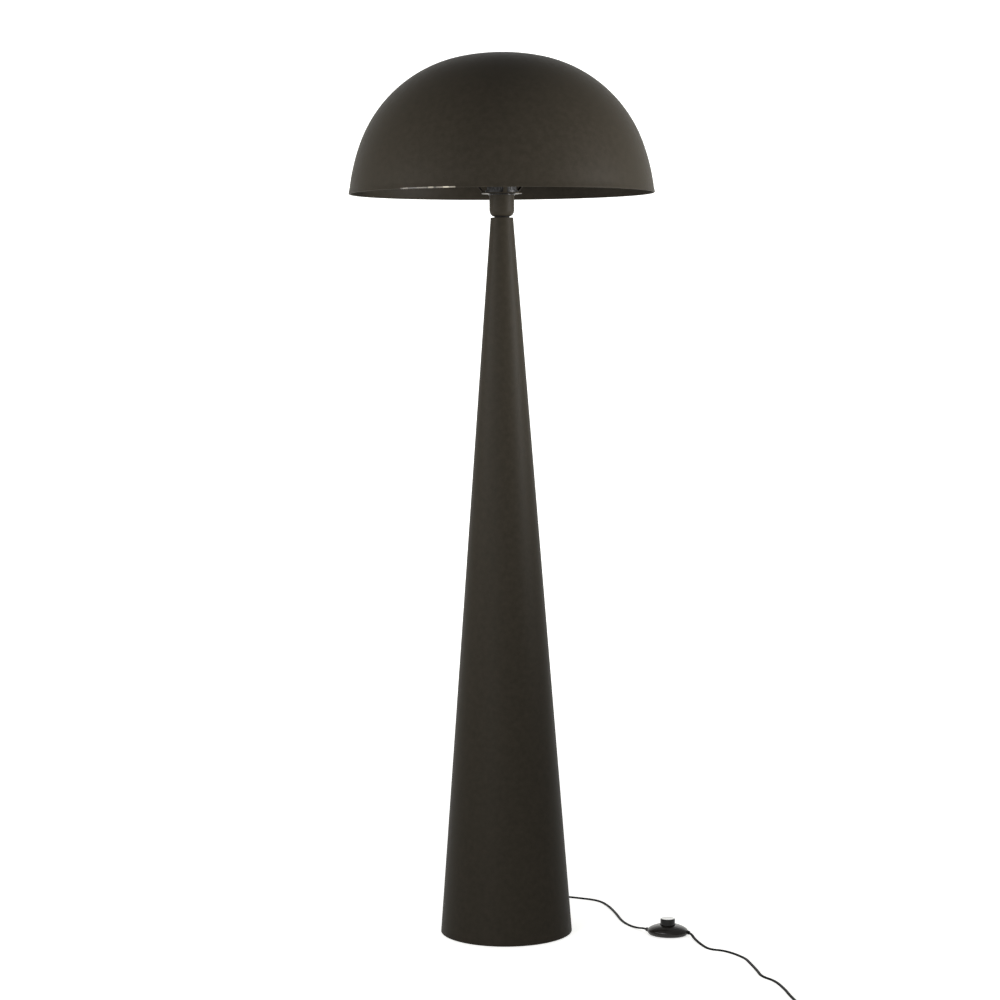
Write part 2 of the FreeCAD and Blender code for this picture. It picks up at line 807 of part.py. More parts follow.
def bush_cuts(body):
    """Round way through both ends of a housing half for the bushes."""
    for side, name in ((1, "right"), (-1, "left")):
        channel = body.newObject("PartDesign::SubtractiveCylinder", f"{body.Name}_{name}_channel")
        tie(channel, "Radius", "switch_bush_radius + thread_fit")
        tie(channel, "Height", "2 * switch_bush_length")
        place_bush(channel, side, "switch_bush_length")


def place_bush(piece, side, back):
    """Lay an upright cylinder along a bush's axis, its base a distance back from the bush's centre."""
    centre, heading = bush_path(side)
    piece.Placement = FreeCAD.Placement(centre, FreeCAD.Rotation(V(0, 0, 1), heading))
    sign = "1" if side > 0 else "-1"
    tie(piece, "Placement.Base.x", f"{sign} * (switch_bush_offset - ({back}) * cos(switch_bush_skew))")
    tie(piece, "Placement.Base.y", f"{sign} * ({back}) * sin(switch_bush_skew)")
    tie(piece, "Placement.Base.z", "switch_flex_height")


def loft(body, name, kind, rows):
    """Loft through ovals given as (half length, half width, end radius, height)."""
    sketches = []
    for index, (half_length, half_width, end_radius, height) in enumerate(rows):
        sketch = sketch_on(body, f"{name}_{index}", "XY", height)
        oval(sketch, half_length, half_width, end_radius)
        sketches.append(sketch)
    feature = body.newObject(f"PartDesign::{kind}", f"{body.Name}_{name}")
    feature.Profile = sketches[0]
    feature.Sections = sketches[1:]
    return feature


def make_switch_upper():
    body = new_body("switch_upper")
    loft(
        body,
        "dome",
        "AdditiveLoft",
        [
            ("switch_half_length", "switch_half_width", "switch_end_radius", "switch_seam_height"),
            ("shoulder_length", "shoulder_width", "shoulder_end_radius", "shoulder_height"),
            ("collar_radius + oval_margin", "collar_radius", "collar_radius - oval_margin", "collar_height"),
        ],
    )
    doc.recompute()
    solid = body.Shape.Volume
    loft(
        body,
        "inside",
        "SubtractiveLoft",
        [
            (
                "switch_half_length - switch_wall",
                "switch_half_width - switch_wall",
                "switch_end_radius - switch_wall",
                "switch_seam_height",
            ),
            (
                "button_flange_radius + button_flange_room + oval_margin",
                "button_flange_radius + button_flange_room",
                "button_flange_radius + button_flange_room - oval_margin",
                "roof_height",
            ),
        ],
    )
    doc.recompute()
    if not body.Shape.Volume < solid:
        raise ValueError("the upper housing isn't hollow")
    hole = sketch_on(body, "button_hole", "XY")
    circle(hole, "0", "0", "button_radius + button_play")
    cut(body, "button_cut", hole, "button_top", reverse=True)
    seam = "switch_seam_height"
    two_screw_features(body, "boss", seam, "housing_boss_radius", "housing_boss_height")
    two_screw_features(body, "thread", seam, "housing_screw_radius", "housing_thread_depth", sunk=True)
    bush_cuts(body)
    on_switch(body)


def two_screw_features(body, name, base, radius, length, sunk=False):
    """A round pad or pocket at each of the two housing screws."""
    for side, end in (("", "right"), ("-", "left")):
        sketch = sketch_on(body, f"{name}_{end}", "XY", base)
        circle(sketch, side + "housing_screw_offset", "0", radius)
        if sunk:
            cut(body, f"{name}_{end}_cut", sketch, length, reverse=True)
        else:
            pad(body, f"{name}_{end}_pad", sketch, length)


def make_switch_lower():
    body = new_body("switch_lower")
    base = sketch_on(body, "base", "XY", "foot_thickness")
    oval(base, "switch_half_length", "switch_half_width", "switch_end_radius")
    pad(body, "tray", base, "switch_seam_height - foot_thickness")
    round_edges(body, "skirt", "switch_skirt_radius", lies_at("foot_thickness"))
    inside = sketch_on(body, "inside", "XY", TRAY_FLOOR)
    inset = "switch_wall + switch_skirt_radius / 2"
    half_length = f"switch_half_length - ({inset})"
    oval(inside, half_length, f"switch_half_width - ({inset})", f"switch_end_radius - ({inset})")
    cut(body, "hollow", inside, "switch_seam_height", reverse=True)
    post = sketch_on(body, "spring_post", "XY", TRAY_FLOOR)
    circle(post, "0", "0", "spring_post_radius")
    pad(body, "post", post, "spring_post_height")
    depth = f"switch_seam_height - {TRAY_FLOOR}"
    two_screw_features(body, "boss", TRAY_FLOOR, "housing_boss_radius", depth)
    two_screw_features(body, "clearance", "0", "housing_screw_radius + bolt_play", "switch_seam_height", True)
    head_depth = "foot_thickness + housing_head_height"
    two_screw_features(body, "sinking", "0", "housing_head_radius + bolt_play", head_depth, True)
    bush_cuts(body)
    on_switch(body)


def make_switch_screws():
    body = new_body("switch_screws")
    two_screw_features(body, "head", "foot_thickness", "housing_head_radius", "housing_head_height")
    shank = "switch_seam_height + housing_thread_depth - foot_thickness - housing_head_height - bolt_play"
    shank_base = "foot_thickness + housing_head_height"
    two_screw_features(body, "shank", shank_base, "housing_screw_radius - thread_fit", shank)
    on_switch(body)


def make_switch_button():
    bore = "(button_radius - button_wall)"
    body = turned(
        "switch_button",
        [
            (bore, FLANGE_BASE),
            ("button_flange_radius", FLANGE_BASE),
            ("button_flange_radius", FLANGE_TOP),
            ("button_radius", FLANGE_TOP),
            ("button_radius", "button_top - button_edge_radius", "button_edge_radius"),
            ("button_radius - button_edge_radius", "button_top"),
            ("0", "button_top"),
            ("0", BUTTON_CEILING),
            (bore, BUTTON_CEILING),
        ],
    )
    on_switch(body)


def make_switch_spring():
    body = turned(
        "button_spring",
        tube_outline(
            "spring_radius + spring_wire / 2",
            "spring_radius - spring_wire / 2",
            TRAY_FLOOR,
            BUTTON_CEILING,
        ),
    )
    on_switch(body)


def make_switch_feet():
    body = new_body("switch_feet")
    for name, across, up in (("a", "", ""), ("b", "-", ""), ("c", "", "-"), ("d", "-", "-")):
        foot = sketch_on(body, "foot_" + name, "XY")
        circle(foot, across + "foot_spacing_length / 2", up + "foot_spacing_width / 2", "foot_radius")
        pad(body, "pad_" + name, foot, "foot_thickness")
    on_switch(body)


def make_switch_terminals():
    body = new_body("switch_terminals")
    for name, across, up in (("a", "", ""), ("b", "-", ""), ("c", "", "-"), ("d", "-", "-")):
        block = sketch_on(body, "block_" + name, "XY", TRAY_FLOOR)
        left = f"{across}terminal_offset - terminal_length / 2"
        right = f"{across}terminal_offset + terminal_length / 2"
        low = f"{up}terminal_side - terminal_width / 2"
        high = f"{up}terminal_side + terminal_width / 2"
        outline(block, [(left, low), (right, low), (right, high), (left, high)])
        pad(body, "pad_" + name, block, "terminal_height")
    on_switch(body)


def make_switch_bushes():
    """A bush at each end, whose outer face stands a third of its length past its centre."""
    for side, name in ((1, "switch_bush_out"), (-1, "switch_bush_in")):
        body = new_body(name)
        sleeve = body.newObject("PartDesign::AdditiveCylinder", name + "_sleeve")
        tie(sleeve, "Radius", "switch_bush_radius")
        tie(sleeve, "Height", "switch_bush_length")
        place_bush(sleeve, side, "switch_bush_length * 2 / 3")
        on_switch(body)


def switch_frame():
    where = V(number("switch_x"), number("switch_y"), 0)
    return FreeCAD.Placement(where, FreeCAD.Rotation(V(0, 0, 1), number("switch_turn")))


# ---------------------------------------------------------------- flex

# The route's points, in whole or half millimetres, chosen along the flex as it lies on the floor.
LAMP_TO_SWITCH = [
    (0, 149, 16),
    (2, 174, 7),
    (7, 204, 2.6),
    (33, 240, 2.6),
    (84, 243, 2.6),
    (134, 220, 2.6),
    (167, 202, 2.6),
    (182, 168, 2.6),
    (194, 112, 2.6),
    (202, 50, 2.6),
    (216, 16, 2.6),
    (227, -3, 4),
]
SWITCH_TO_COIL = [
    (318, -76, 4.4),
    (327, -109, 2.6),
    (338, -141, 2.6),
    (365, -150, 2.6),
    (392, -195, 2.6),
    (397, -226, 2.6),
    (404, -272, 2.6),
    (407, -308, 2.6),
    (426, -333, 2.6),
    (436, -383, 2.6),
    (439, -413, 2.6),
    (446, -455, 2.6),
    (451, -490, 2.6),
]
COIL_TO_PLUG = [(449, -563, 7.8), (430, -577, 7), (402, -579, 7)]
COIL_HEADING = V(0, -1, 0)
EXIT_RUN = 9.0
ARC_SHARE = 0.45
POINTS_PER_ARC = 8


def tube_along(label, points, radius):
    """A round tube along straight runs joined by tangent arcs, each as large as its two runs allow."""
    edges = []
    radii = []
    last = points[0]
    for before, corner, after in zip(points, points[1:], points[2:]):
        back = before - corner
        ahead = after - corner
        share = ARC_SHARE * min(back.Length, ahead.Length)
        turn = math.pi - back.getAngle(ahead)
        back.normalize()
        ahead.normalize()
        bend = share / math.tan(turn / 2)
        radii.append(round(bend, 1))
        start = corner + back * share
        end = corner + ahead * share
        inward = (back + ahead).normalize()
        middle = corner + inward * (bend / math.cos(turn / 2) - bend)
        edges.append(Part.LineSegment(last, start).toShape())
        edges.append(Part.Arc(start, middle, end).toShape())
        last = end
    edges.append(Part.LineSegment(last, points[-1]).toShape())
    path = Part.Wire(edges)
    ring = Part.Wire([Part.Circle(points[0], points[1] - points[0], radius).toShape()])
    tube = path.makePipeShell([ring], True, False)
    share = tube.Volume / (math.pi * radius**2 * path.Length)
    print(f"{label}: {path.Length:.0f} mm long, bend radii {radii}, volume share {share:.5f}")
    add_shape(label, tube)


def add_shape(label, shape):
    feature = doc.addObject("Part::Feature", label)
    feature.Shape = shape
    pieces.append(feature)


def coil_point(quarter):
    """Place and direction of the coil after a number of quarter turns from its start at the left side.

    It spirals in on the floor, climbs one layer in half a turn, and spirals out on top of itself.
    """
    layer = 4 * number("coil_layer_turns")
    step = number("coil_step") / 4
    rise = number("coil_rise")
    climb = min(max(quarter - layer, 0), 2) / 2
    radius = number("coil_outer_radius") - step * min(quarter, layer) + step * max(quarter - layer - 2, 0)
    outward = -step * (quarter < layer) + step * (quarter > layer + 2)
    slope = rise / 2 * 1.5 * 4 * climb * (1 - climb)
    angle = math.pi + quarter * math.pi / 2
    place_xy = V(math.cos(angle), math.sin(angle), 0) * radius
    height = number("flex_lie_height") + rise * climb * climb * (3 - 2 * climb)
    point = V(number("coil_x"), number("coil_y"), height) + place_xy
    along = V(-math.sin(angle), math.cos(angle), 0) * (radius * math.pi / 2)
    along += V(math.cos(angle), math.sin(angle), 0) * outward + V(0, 0, slope)
    return point, along.normalize()


def two_arcs(start, leaving, end, arriving):
    """The two arcs that join two points smoothly, each given by its ends and middle."""
    span = end - start
    both = leaving + arriving
    spread = 2 * (1 - leaving.dot(arriving))
    reach = (-span.dot(both) + math.sqrt(span.dot(both) ** 2 + spread * span.dot(span))) / spread
    joint = (start + end + (leaving - arriving) * reach) * 0.5
    first = (start, arc_middle(start, leaving, joint), joint)
    second = (joint, arc_middle(end, arriving * -1, joint), end)
    return [first, second]


def arc_middle(start, leaving, end):
    chord = end - start
    half_angle = leaving.getAngle(chord)
    side = leaving - chord * (leaving.dot(chord) / chord.dot(chord))
    return (start + end) * 0.5 + side.normalize() * (chord.Length / 2 * math.tan(half_angle / 2))


def make_coil():
    """The flex that is left over, in a neat two-layer coil. Returns its last point and direction."""
    radius = number("flex_radius")
    quarters = 8 * int(number("coil_layer_turns"))
    start = coil_point(0)[0]
    heading = COIL_HEADING
    edges = [Part.LineSegment(start - heading * 2 * radius, start).toShape()]
    centres = []
    point = start
    for quarter in range(1, quarters + 1):
        following, leaving = coil_point(quarter)
        if quarter == quarters:
            leaving = COIL_HEADING
        for arc in two_arcs(point, heading, following, leaving):
            edge = Part.Arc(*arc).toShape()
            edges.append(edge)
            centres.extend(edge.discretize(Number=POINTS_PER_ARC + 1)[:-1])
        point, heading = following, leaving
    edges.append(Part.LineSegment(point, point + heading * 2 * radius).toShape())
    path = Part.Wire(edges)
    ring = Part.Wire([Part.Circle(start - COIL_HEADING * 2 * radius, COIL_HEADING, radius).toShape()])
    tube = path.makePipeShell([ring], True, False)
    share = tube.Volume / (math.pi * radius**2 * path.Length)
    near = 4 * POINTS_PER_ARC
    gap = min((a - b).Length for i, a in enumerate(centres) for b in centres[i + near :]) - 2 * radius
    print(f"cord_coil: {path.Length:.0f} mm long, volume share {share:.5f}, least gap to itself {gap:.2f} mm")
    add_shape("cord_coil", tube)
    return point + heading * 2 * radius, heading


def flex_points(rows):
    return [V(*row) for row in rows]


def bush_face(side):
    centre, heading = bush_path(side)
    frame = switch_frame()
    face = frame.multVec(centre + heading * (number("switch_bush_length") / 3))
    return face, frame.Rotation.multVec(heading)


def make_flex(tail_end):
    radius = number("flex_radius")
    face_in, heading_in = bush_face(-1)
    face_out, heading_out = bush_face(1)
    exit_height = number("flex_exit_height")
    lead_top = number(f"{CUP_FLOOR} + block_base_height + terminal_depth")
    exit_y = number(tail_end)
    bend = number("lead_bend_radius")
    swing = bend * (1 - math.sqrt(0.5))
    exit_point = V(0, exit_y, exit_height)
    bend_start = V(0, bend, exit_height)
    bend_middle = V(0, swing, exit_height + swing)
    bend_end = V(0, 0, exit_height + bend)
    lead = [
        Part.LineSegment(exit_point, bend_start).toShape(),
        Part.Arc(bend_start, bend_middle, bend_end).toShape(),
        Part.LineSegment(bend_end, V(0, 0, lead_top)).toShape(),
    ]
    ring = Part.Wire([Part.Circle(exit_point, V(0, -1, 0), radius).toShape()])
    add_shape("inner_lead", Part.Wire(lead).makePipeShell([ring], True, False))
    first = [exit_point] + flex_points(LAMP_TO_SWITCH)
    tube_along("cord_lamp_to_switch", first + [face_in + heading_in * EXIT_RUN, face_in], radius)
    coil_start = coil_point(0)[0] - COIL_HEADING * 2 * radius
    second = [face_out, face_out + heading_out * EXIT_RUN] + flex_points(SWITCH_TO_COIL) + [coil_start]
    tube_along("cord_switch_to_coil", second, radius)
    end, heading = make_coil()
    third = [end, end + heading * 2 * EXIT_RUN] + flex_points(COIL_TO_PLUG)
    tube_along("cord_coil_to_plug", third, radius)
    return third[-1], third[-1] - third[-2]


# ---------------------------------------------------------------- plug


def make_plug(face, heading):
    turn = math.degrees(math.atan2(heading.y, heading.x))
    body = new_body("plug_body")
    axis_up = "plug_axis_height"
    top = sketch_on(body, "grip_outline", "XY")
    start = "plug_relief_length"
    wide = f"({start} + plug_shoulder)"
    end = f"({start} + plug_length)"
    outline(
        top,
        [
            (start, "-plug_neck_half_width"),
            (wide, "-plug_half_width"),
            (end, "-plug_half_width"),
            (end, "plug_half_width"),
            (wide, "plug_half_width"),
            (start, "plug_neck_half_width"),
        ],
    )
    pad(body, "grip", top, f"2 * {axis_up}")
    on_floor = lies_at("0")
    on_top = lies_at(f"2 * {axis_up}")
    round_edges(body, "rounding", "plug_edge_radius", lambda edge: on_floor(edge) or on_top(edge))
    relief = sketch_on(body, "relief_outline", "XZ")
    outline(
        relief,
        [
            ("0", axis_up),
            (f"{start} + plug_shoulder / 2", axis_up),
            (f"{start} + plug_shoulder / 2", f"{axis_up} + plug_neck_radius"),
            (start, f"{axis_up} + plug_neck_radius"),
            ("0", f"{axis_up} + plug_relief_radius"),
        ],
    )
    level_axis(relief, axis_up, start)
    spin = body.newObject("PartDesign::Revolution", "plug_relief")
    spin.Profile = relief
    spin.ReferenceAxis = (relief, ["Axis0"])
    spin.Angle = 360
    holes = sketch_on(body, "pin_holes", "YZ", f"{end} - pin_root")
    for side in ("", "-"):
        circle(holes, f"{side}pin_spacing / 2", axis_up, "pin_radius + pin_play")
    cut(body, "pin_cuts", holes, "2 * pin_root", reverse=True)
    where = FreeCAD.Placement(V(face.x, face.y, 0), FreeCAD.Rotation(V(0, 0, 1), turn))
    body.Placement = where
    pins = new_body("plug_pins")
    roots = sketch_on(pins, "pin_roots", "YZ", f"{end} - pin_root")
    for side in ("", "-"):
        circle(roots, f"{side}pin_spacing / 2", axis_up, "pin_radius")
    pad(pins, "pins", roots, "pin_root + pin_length")
    pins.Placement = where


# ---------------------------------------------------------------- the lamp

make_cone_body()
make_base()
make_brackets()
make_bolts()
bush_end = make_cord_bush()
make_stem_top()
make_lampholder()
make_shade_dome()
make_shade_spider()
make_spider_arms()
make_shade_ring()
make_switch_upper()
make_switch_lower()
make_switch_button()
make_switch_spring()
make_switch_feet()
make_switch_screws()
make_switch_terminals()
make_switch_bushes()
plug_face, plug_heading = make_flex(bush_end)
make_plug(plug_face, plug_heading)
doc.recompute()

for item in doc.Objects:
    if "Invalid" in item.State or "Error" in item.State:
        raise ValueError(f"{item.Name} is {item.State}")
for piece in pieces:
    if piece.Shape.isNull() or not piece.Shape.isValid():
        raise ValueError(f"{piece.Label} has no valid shape")
os.makedirs("parts", exist_ok=True)
for piece in pieces:
    piece.Shape.exportStep(f"parts/{piece.Label}.step")
    print(piece.Label, len(piece.Shape.Solids), round(piece.Shape.Volume, 1))
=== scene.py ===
"""Mushroom floor lamp: the surfaces that are seen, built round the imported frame.

Lengths in the tables and settings are millimetres unless a name says otherwise. The base stands on the
floor at the origin, +Z is up and the front faces -Y.
"""

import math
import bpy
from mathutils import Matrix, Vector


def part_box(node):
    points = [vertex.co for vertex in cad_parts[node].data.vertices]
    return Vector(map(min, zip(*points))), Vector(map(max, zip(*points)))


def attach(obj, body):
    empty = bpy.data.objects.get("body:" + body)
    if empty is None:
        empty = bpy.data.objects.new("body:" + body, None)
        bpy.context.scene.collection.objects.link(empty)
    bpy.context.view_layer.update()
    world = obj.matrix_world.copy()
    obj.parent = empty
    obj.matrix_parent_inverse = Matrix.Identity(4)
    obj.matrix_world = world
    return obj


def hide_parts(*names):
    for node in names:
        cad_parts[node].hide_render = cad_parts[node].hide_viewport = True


bl_info = {
    "name": "Mushroom floor lamp",
    "version": (1, 0, 0),
    "blender": (4, 5, 0),
    "location": "View3D > Sidebar > Floor lamp",
    "description": "Models and finishes a mushroom floor lamp with its foot switch and flex",
    "category": "Add Mesh",
}

import bpy
from bpy.props import FloatProperty, FloatVectorProperty, PointerProperty
from mathutils import Matrix, Vector

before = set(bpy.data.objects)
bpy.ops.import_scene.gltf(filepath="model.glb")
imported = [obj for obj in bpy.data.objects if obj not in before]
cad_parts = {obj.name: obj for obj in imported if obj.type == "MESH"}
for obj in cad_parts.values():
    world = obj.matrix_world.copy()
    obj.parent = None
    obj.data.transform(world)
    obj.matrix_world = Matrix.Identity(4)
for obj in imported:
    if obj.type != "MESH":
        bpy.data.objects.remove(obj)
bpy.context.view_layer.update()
MM = 0.001


def linear(hex_colour):
    """A linear colour from an sRGB hex value."""
    parts = [int(hex_colour[i : i + 2], 16) / 255 for i in (1, 3, 5)]
    return tuple(c / 12.92 if c <= 0.04045 else ((c + 0.055) / 1.055) ** 2.4 for c in parts)


def low(node):
    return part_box(node)[0] / MM


def high(node):
    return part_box(node)[1] / MM


def colour(name, description, hex_colour):
    return FloatVectorProperty(
        name=name, description=description, subtype="COLOR", size=3, min=0, max=1, default=linear(hex_colour)
    )


def length(name, description, millimetres):
    return FloatProperty(name=name, description=description, unit="LENGTH", default=millimetres * MM, precision=5)


# ---------------------------------------------------------------- settings


class LampPaint(bpy.types.PropertyGroup):
    paint: colour("Paint", "Powder coat on the shade, cup and cone", "#2a2620")
    paint_dark: colour("Paint, darker", "Darker patches of the powder coat", "#24211b")
    grain: length("Grain", "Size of the coat's leathery grain", 1.4)
    grain_height: length("Grain height", "Depth of the coat's grain", 0.06)
    roughness: FloatProperty(name="Roughness", description="Roughness of the coat", default=0.52, subtype="FACTOR")


class LampShade(bpy.types.PropertyGroup):
    rim_radius: length("Rim radius", "Radius of the dome at its rim", 257.4)
    dome_height: length("Height", "Height of the dome above its rim's plane", 235.4)
    wall: length("Wall", "Thickness of the spun sheet", 1.2)
    hem_radius: length("Hem radius", "Radius of the rolled bead round the rim", 1.5)


class LampSwitch(bpy.types.PropertyGroup):
    housing: colour("Housing", "Moulded housing of the foot switch", "#1d1a16")
    button: colour("Button", "Glossy foot button", "#0f0e0c")
    flex: colour("Flex", "Sheath of the flat twin flex", "#050504")
    flex_width: length("Flex width", "Wide side of the flat flex", 5.0)
    flex_thickness: length("Flex thickness", "Thin side of the flat flex", 2.8)


class LampStage(bpy.types.PropertyGroup):
    ground: colour("Ground", "Seamless paper floor and backdrop", "#f4f4f2")
    glow: FloatProperty(name="Paper glow", description="Light the white studio sends through the paper", default=0.7)
    left_power: FloatProperty(name="Left light", description="Power of the left strip", default=6.6, unit="POWER")
    right_power: FloatProperty(name="Right light", description="Power of the right softbox", default=10, unit="POWER")
    front_power: FloatProperty(name="Front light", description="Power of the front softbox", default=15, unit="POWER")
    paper_power: FloatProperty(
        name="Backdrop lights", description="Power of each backdrop light", default=48, unit="POWER"
    )
    sky: FloatProperty(name="Sky", description="Strength of the white surround", default=0.46)


# ---------------------------------------------------------------- modelling tools


def clear_selection():
    if bpy.context.mode != "OBJECT":
        bpy.ops.object.mode_set(mode="OBJECT")
    bpy.ops.object.select_all(action="DESELECT")


def work_on(piece):
    clear_selection()
    piece.select_set(True)
    bpy.context.view_layer.objects.active = piece


def draw_line(points, name):
    """A line of edges through (across, up) points in the XZ plane, drawn by extruding its last corner."""
    clear_selection()
    bpy.ops.mesh.primitive_plane_add(size=MM, location=(0, 0, 0))
    piece = bpy.context.object
    piece.name = name
    bpy.ops.object.mode_set(mode="EDIT")
    bpy.ops.mesh.merge(type="CENTER")
    bpy.ops.transform.translate(value=(points[0][0] * MM, 0, points[0][1] * MM))
    for start, end in zip(points, points[1:]):
        step = ((end[0] - start[0]) * MM, 0, (end[1] - start[1]) * MM)
        bpy.ops.mesh.extrude_region_move(TRANSFORM_OT_translate={"value": step})
    return piece


def lathe(points, name, steps=128, smooth=35):
    """Turn a section of (radius, height) points once round the upright axis."""
    piece = draw_line(points, name)
    bpy.ops.mesh.select_all(action="SELECT")
    bpy.ops.mesh.spin(steps=steps, angle=2 * math.pi, center=(0, 0, 0), axis=(0, 0, 1))
    close_up(piece, smooth)
    return piece


def close_up(piece, smooth=35):
    """Merge doubles, turn the faces outwards and smooth what is flatter than an angle."""
    work_on(piece)
    bpy.ops.object.mode_set(mode="EDIT")
    bpy.ops.mesh.select_all(action="SELECT")
    bpy.ops.mesh.remove_doubles(threshold=0.005 * MM)
    bpy.ops.mesh.normals_make_consistent(inside=False)
    bpy.ops.object.mode_set(mode="OBJECT")
    bpy.ops.object.shade_smooth_by_angle(angle=math.radians(smooth))


def apply_modifier(piece, kind, **settings):
    work_on(piece)
    modifier = piece.modifiers.new(kind.title(), kind)
    for name, value in settings.items():
        setattr(modifier, name, value)
    bpy.ops.object.modifier_apply(modifier=modifier.name)


def soften(piece, width, segments=2, angle=40):
    """Round the edges that turn more than an angle."""
    apply_modifier(
        piece, "BEVEL", width=width * MM, segments=segments, limit_method="ANGLE", angle_limit=math.radians(angle)
    )
    bpy.ops.object.shade_smooth_by_angle(angle=math.radians(35))


def settle(piece, matrix):
    """Move the piece's mesh by a matrix, its object staying at the origin."""
    work_on(piece)
    piece.matrix_world = matrix
    bpy.ops.object.transform_apply(location=True, rotation=True, scale=True)


def join(pieces, name):
    clear_selection()
    for piece in pieces:
        piece.select_set(True)
    bpy.context.view_layer.objects.active = pieces[0]
    bpy.ops.object.join()
    pieces[0].name = name
    return pieces[0]


def arc(centre, radius, start, end, steps, tall=None):
    """Points along an arc, its angles in degrees from straight up towards +across. tall makes it an oval."""
    tall = tall or radius
    turns = [math.radians(start + (end - start) * i / steps) for i in range(steps + 1)]
    return [(centre[0] + radius * math.sin(t), centre[1] + tall * math.cos(t)) for t in turns]


def ring_section(inner, outer, base, top):
    return [(inner, base), (outer, base), (outer, top), (inner, top), (inner, base)]


def finish_piece(piece, body, slot, material, *nodes):
    """Give a new piece its body and material, and let it stand for CAD nodes. The slot argument is not used."""
    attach(piece, body)
    piece.data.materials.clear()
    piece.data.materials.append(material)
    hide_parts(*nodes)


def finish_node(node, material):
    """Give a CAD node that stays in view its material."""
    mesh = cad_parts[node].data
    mesh.materials.clear()
    mesh.materials.append(material)


# ---------------------------------------------------------------- materials


def add_node(tree, kind, inputs=None, **settings):
    """Add a node with its settings. An input is a value, or the socket that feeds it."""
    made = tree.nodes.new(kind)
    for name, value in settings.items():
        setattr(made, name, value)
    for name, value in (inputs or {}).items():
        if isinstance(value, bpy.types.NodeSocket):
            tree.links.new(value, made.inputs[name])
        else:
            made.inputs[name].default_value = value
    return made


def new_material(name):
    """An empty material with a Principled shader. Returns it, its node tree, the shader and the place socket."""
    made = bpy.data.materials.get(name) or bpy.data.materials.new(name)
    made.use_nodes = True
    tree = made.node_tree
    tree.nodes.clear()
    shader = add_node(tree, "ShaderNodeBsdfPrincipled")
    output = add_node(tree, "ShaderNodeOutputMaterial")
    tree.links.new(shader.outputs["BSDF"], output.inputs["Surface"])
    place = add_node(tree, "ShaderNodeTexCoord").outputs["Object"]
    return made, tree, shader, place


def rgba(value):
    return (*value[:3], 1)


def mix_colours(tree, share, first, second):
    """The socket of a colour that goes from first to second as share goes from 0 to 1."""
    # A Mix node has sockets of the same name for each kind of data, so the ones for colours go by number.
    share_socket, first_socket, second_socket, colour_out = 0, 6, 7, 2
    inputs = {share_socket: share, first_socket: rgba(first), second_socket: rgba(second)}
    return add_node(tree, "ShaderNodeMix", inputs, data_type="RGBA").outputs[colour_out]


def surface(name, dark, light, roughness, grain, height, patch=25, spread=0.06, metallic=0.0, **extra):
    """A finish with two near colours in soft patches, a fine grain and slightly uneven gloss.

    grain, height and patch are real sizes in millimetres. spread is how far the roughness strays either way. extra
    sets further sockets of the shader, with _ for each space in their names.
    """
    made, tree, shader, place = new_material(name)
    shader.inputs["Metallic"].default_value = metallic
    for socket, value in extra.items():
        shader.inputs[socket.replace("_", " ")].default_value = value
    patches = add_node(tree, "ShaderNodeTexNoise", {"Vector": place, "Scale": 1 / (patch * MM), "Detail": 3})
    fine = add_node(tree, "ShaderNodeTexNoise", {"Vector": place, "Scale": 1 / (grain * MM), "Detail": 2})
    both = add_node(
        tree, "ShaderNodeMix", {"Factor": 0.4, "A": patches.outputs["Fac"], "B": fine.outputs["Fac"]}
    ).outputs["Result"]
    ramp = add_node(tree, "ShaderNodeMapRange", {"Value": both, "From Min": 0.35, "From Max": 0.65})
    tree.links.new(mix_colours(tree, ramp.outputs["Result"], dark, light), shader.inputs["Base Color"])
    gloss = add_node(
        tree,
        "ShaderNodeMapRange",
        {
            "Value": both,
            "From Min": 0.3,
            "From Max": 0.7,
            "To Min": max(roughness - spread, 0.02),
            "To Max": min(roughness + spread, 1),
        },
    )
    tree.links.new(gloss.outputs["Result"], shader.inputs["Roughness"])
    bump = add_node(
        tree, "ShaderNodeBump", {"Height": fine.outputs["Fac"], "Strength": 1, "Distance": height * MM}
    )
    tree.links.new(bump.outputs["Normal"], shader.inputs["Normal"])
    return made


def powder_coat():
    """Polyester powder coat, sprayed and baked: matt, with a leathery grain and faint darker patches."""
    settings = bpy.context.scene.lamp_paint
    return surface(
        "powder coat, textured charcoal",
        settings.paint_dark,
        settings.paint,
        settings.roughness,
        settings.grain / MM,
        settings.grain_height / MM,
        patch=9,
        Specular_IOR_Level=0.04,
    )


def rim_glint_patch(first, last, spots):
    """Bright aluminium laid in dashes on the rim's hem, as a painted glint.

    spots are (start, share of bright metal), from first to last along x in millimetres.
    """
    made, tree, shader, place = new_material("aluminium, painted rim glint")
    across = add_node(tree, "ShaderNodeSeparateXYZ", {"Vector": place}).outputs["X"]
    along = add_node(
        tree, "ShaderNodeMapRange", {"Value": across, "From Min": first * MM, "From Max": last * MM}
    ).outputs["Result"]
    glint_share = add_node(tree, "ShaderNodeValToRGB", {"Fac": along})
    glint_share.color_ramp.interpolation = "CONSTANT"
    for start, share in spots:
        stop = glint_share.color_ramp.elements.new((start - first) / (last - first))
        stop.color = (share, share, share, 1)
    glint_share.color_ramp.elements[-1].color = (0, 0, 0, 1)
    coat, metal = bpy.context.scene.lamp_paint.paint, linear("#e9dfca")
    tree.links.new(mix_colours(tree, glint_share.outputs["Color"], coat, metal), shader.inputs["Base Color"])
    tree.links.new(glint_share.outputs["Color"], shader.inputs["Metallic"])
    shader.inputs["Roughness"].default_value = 0.3
    return made


# ---------------------------------------------------------------- cone and base


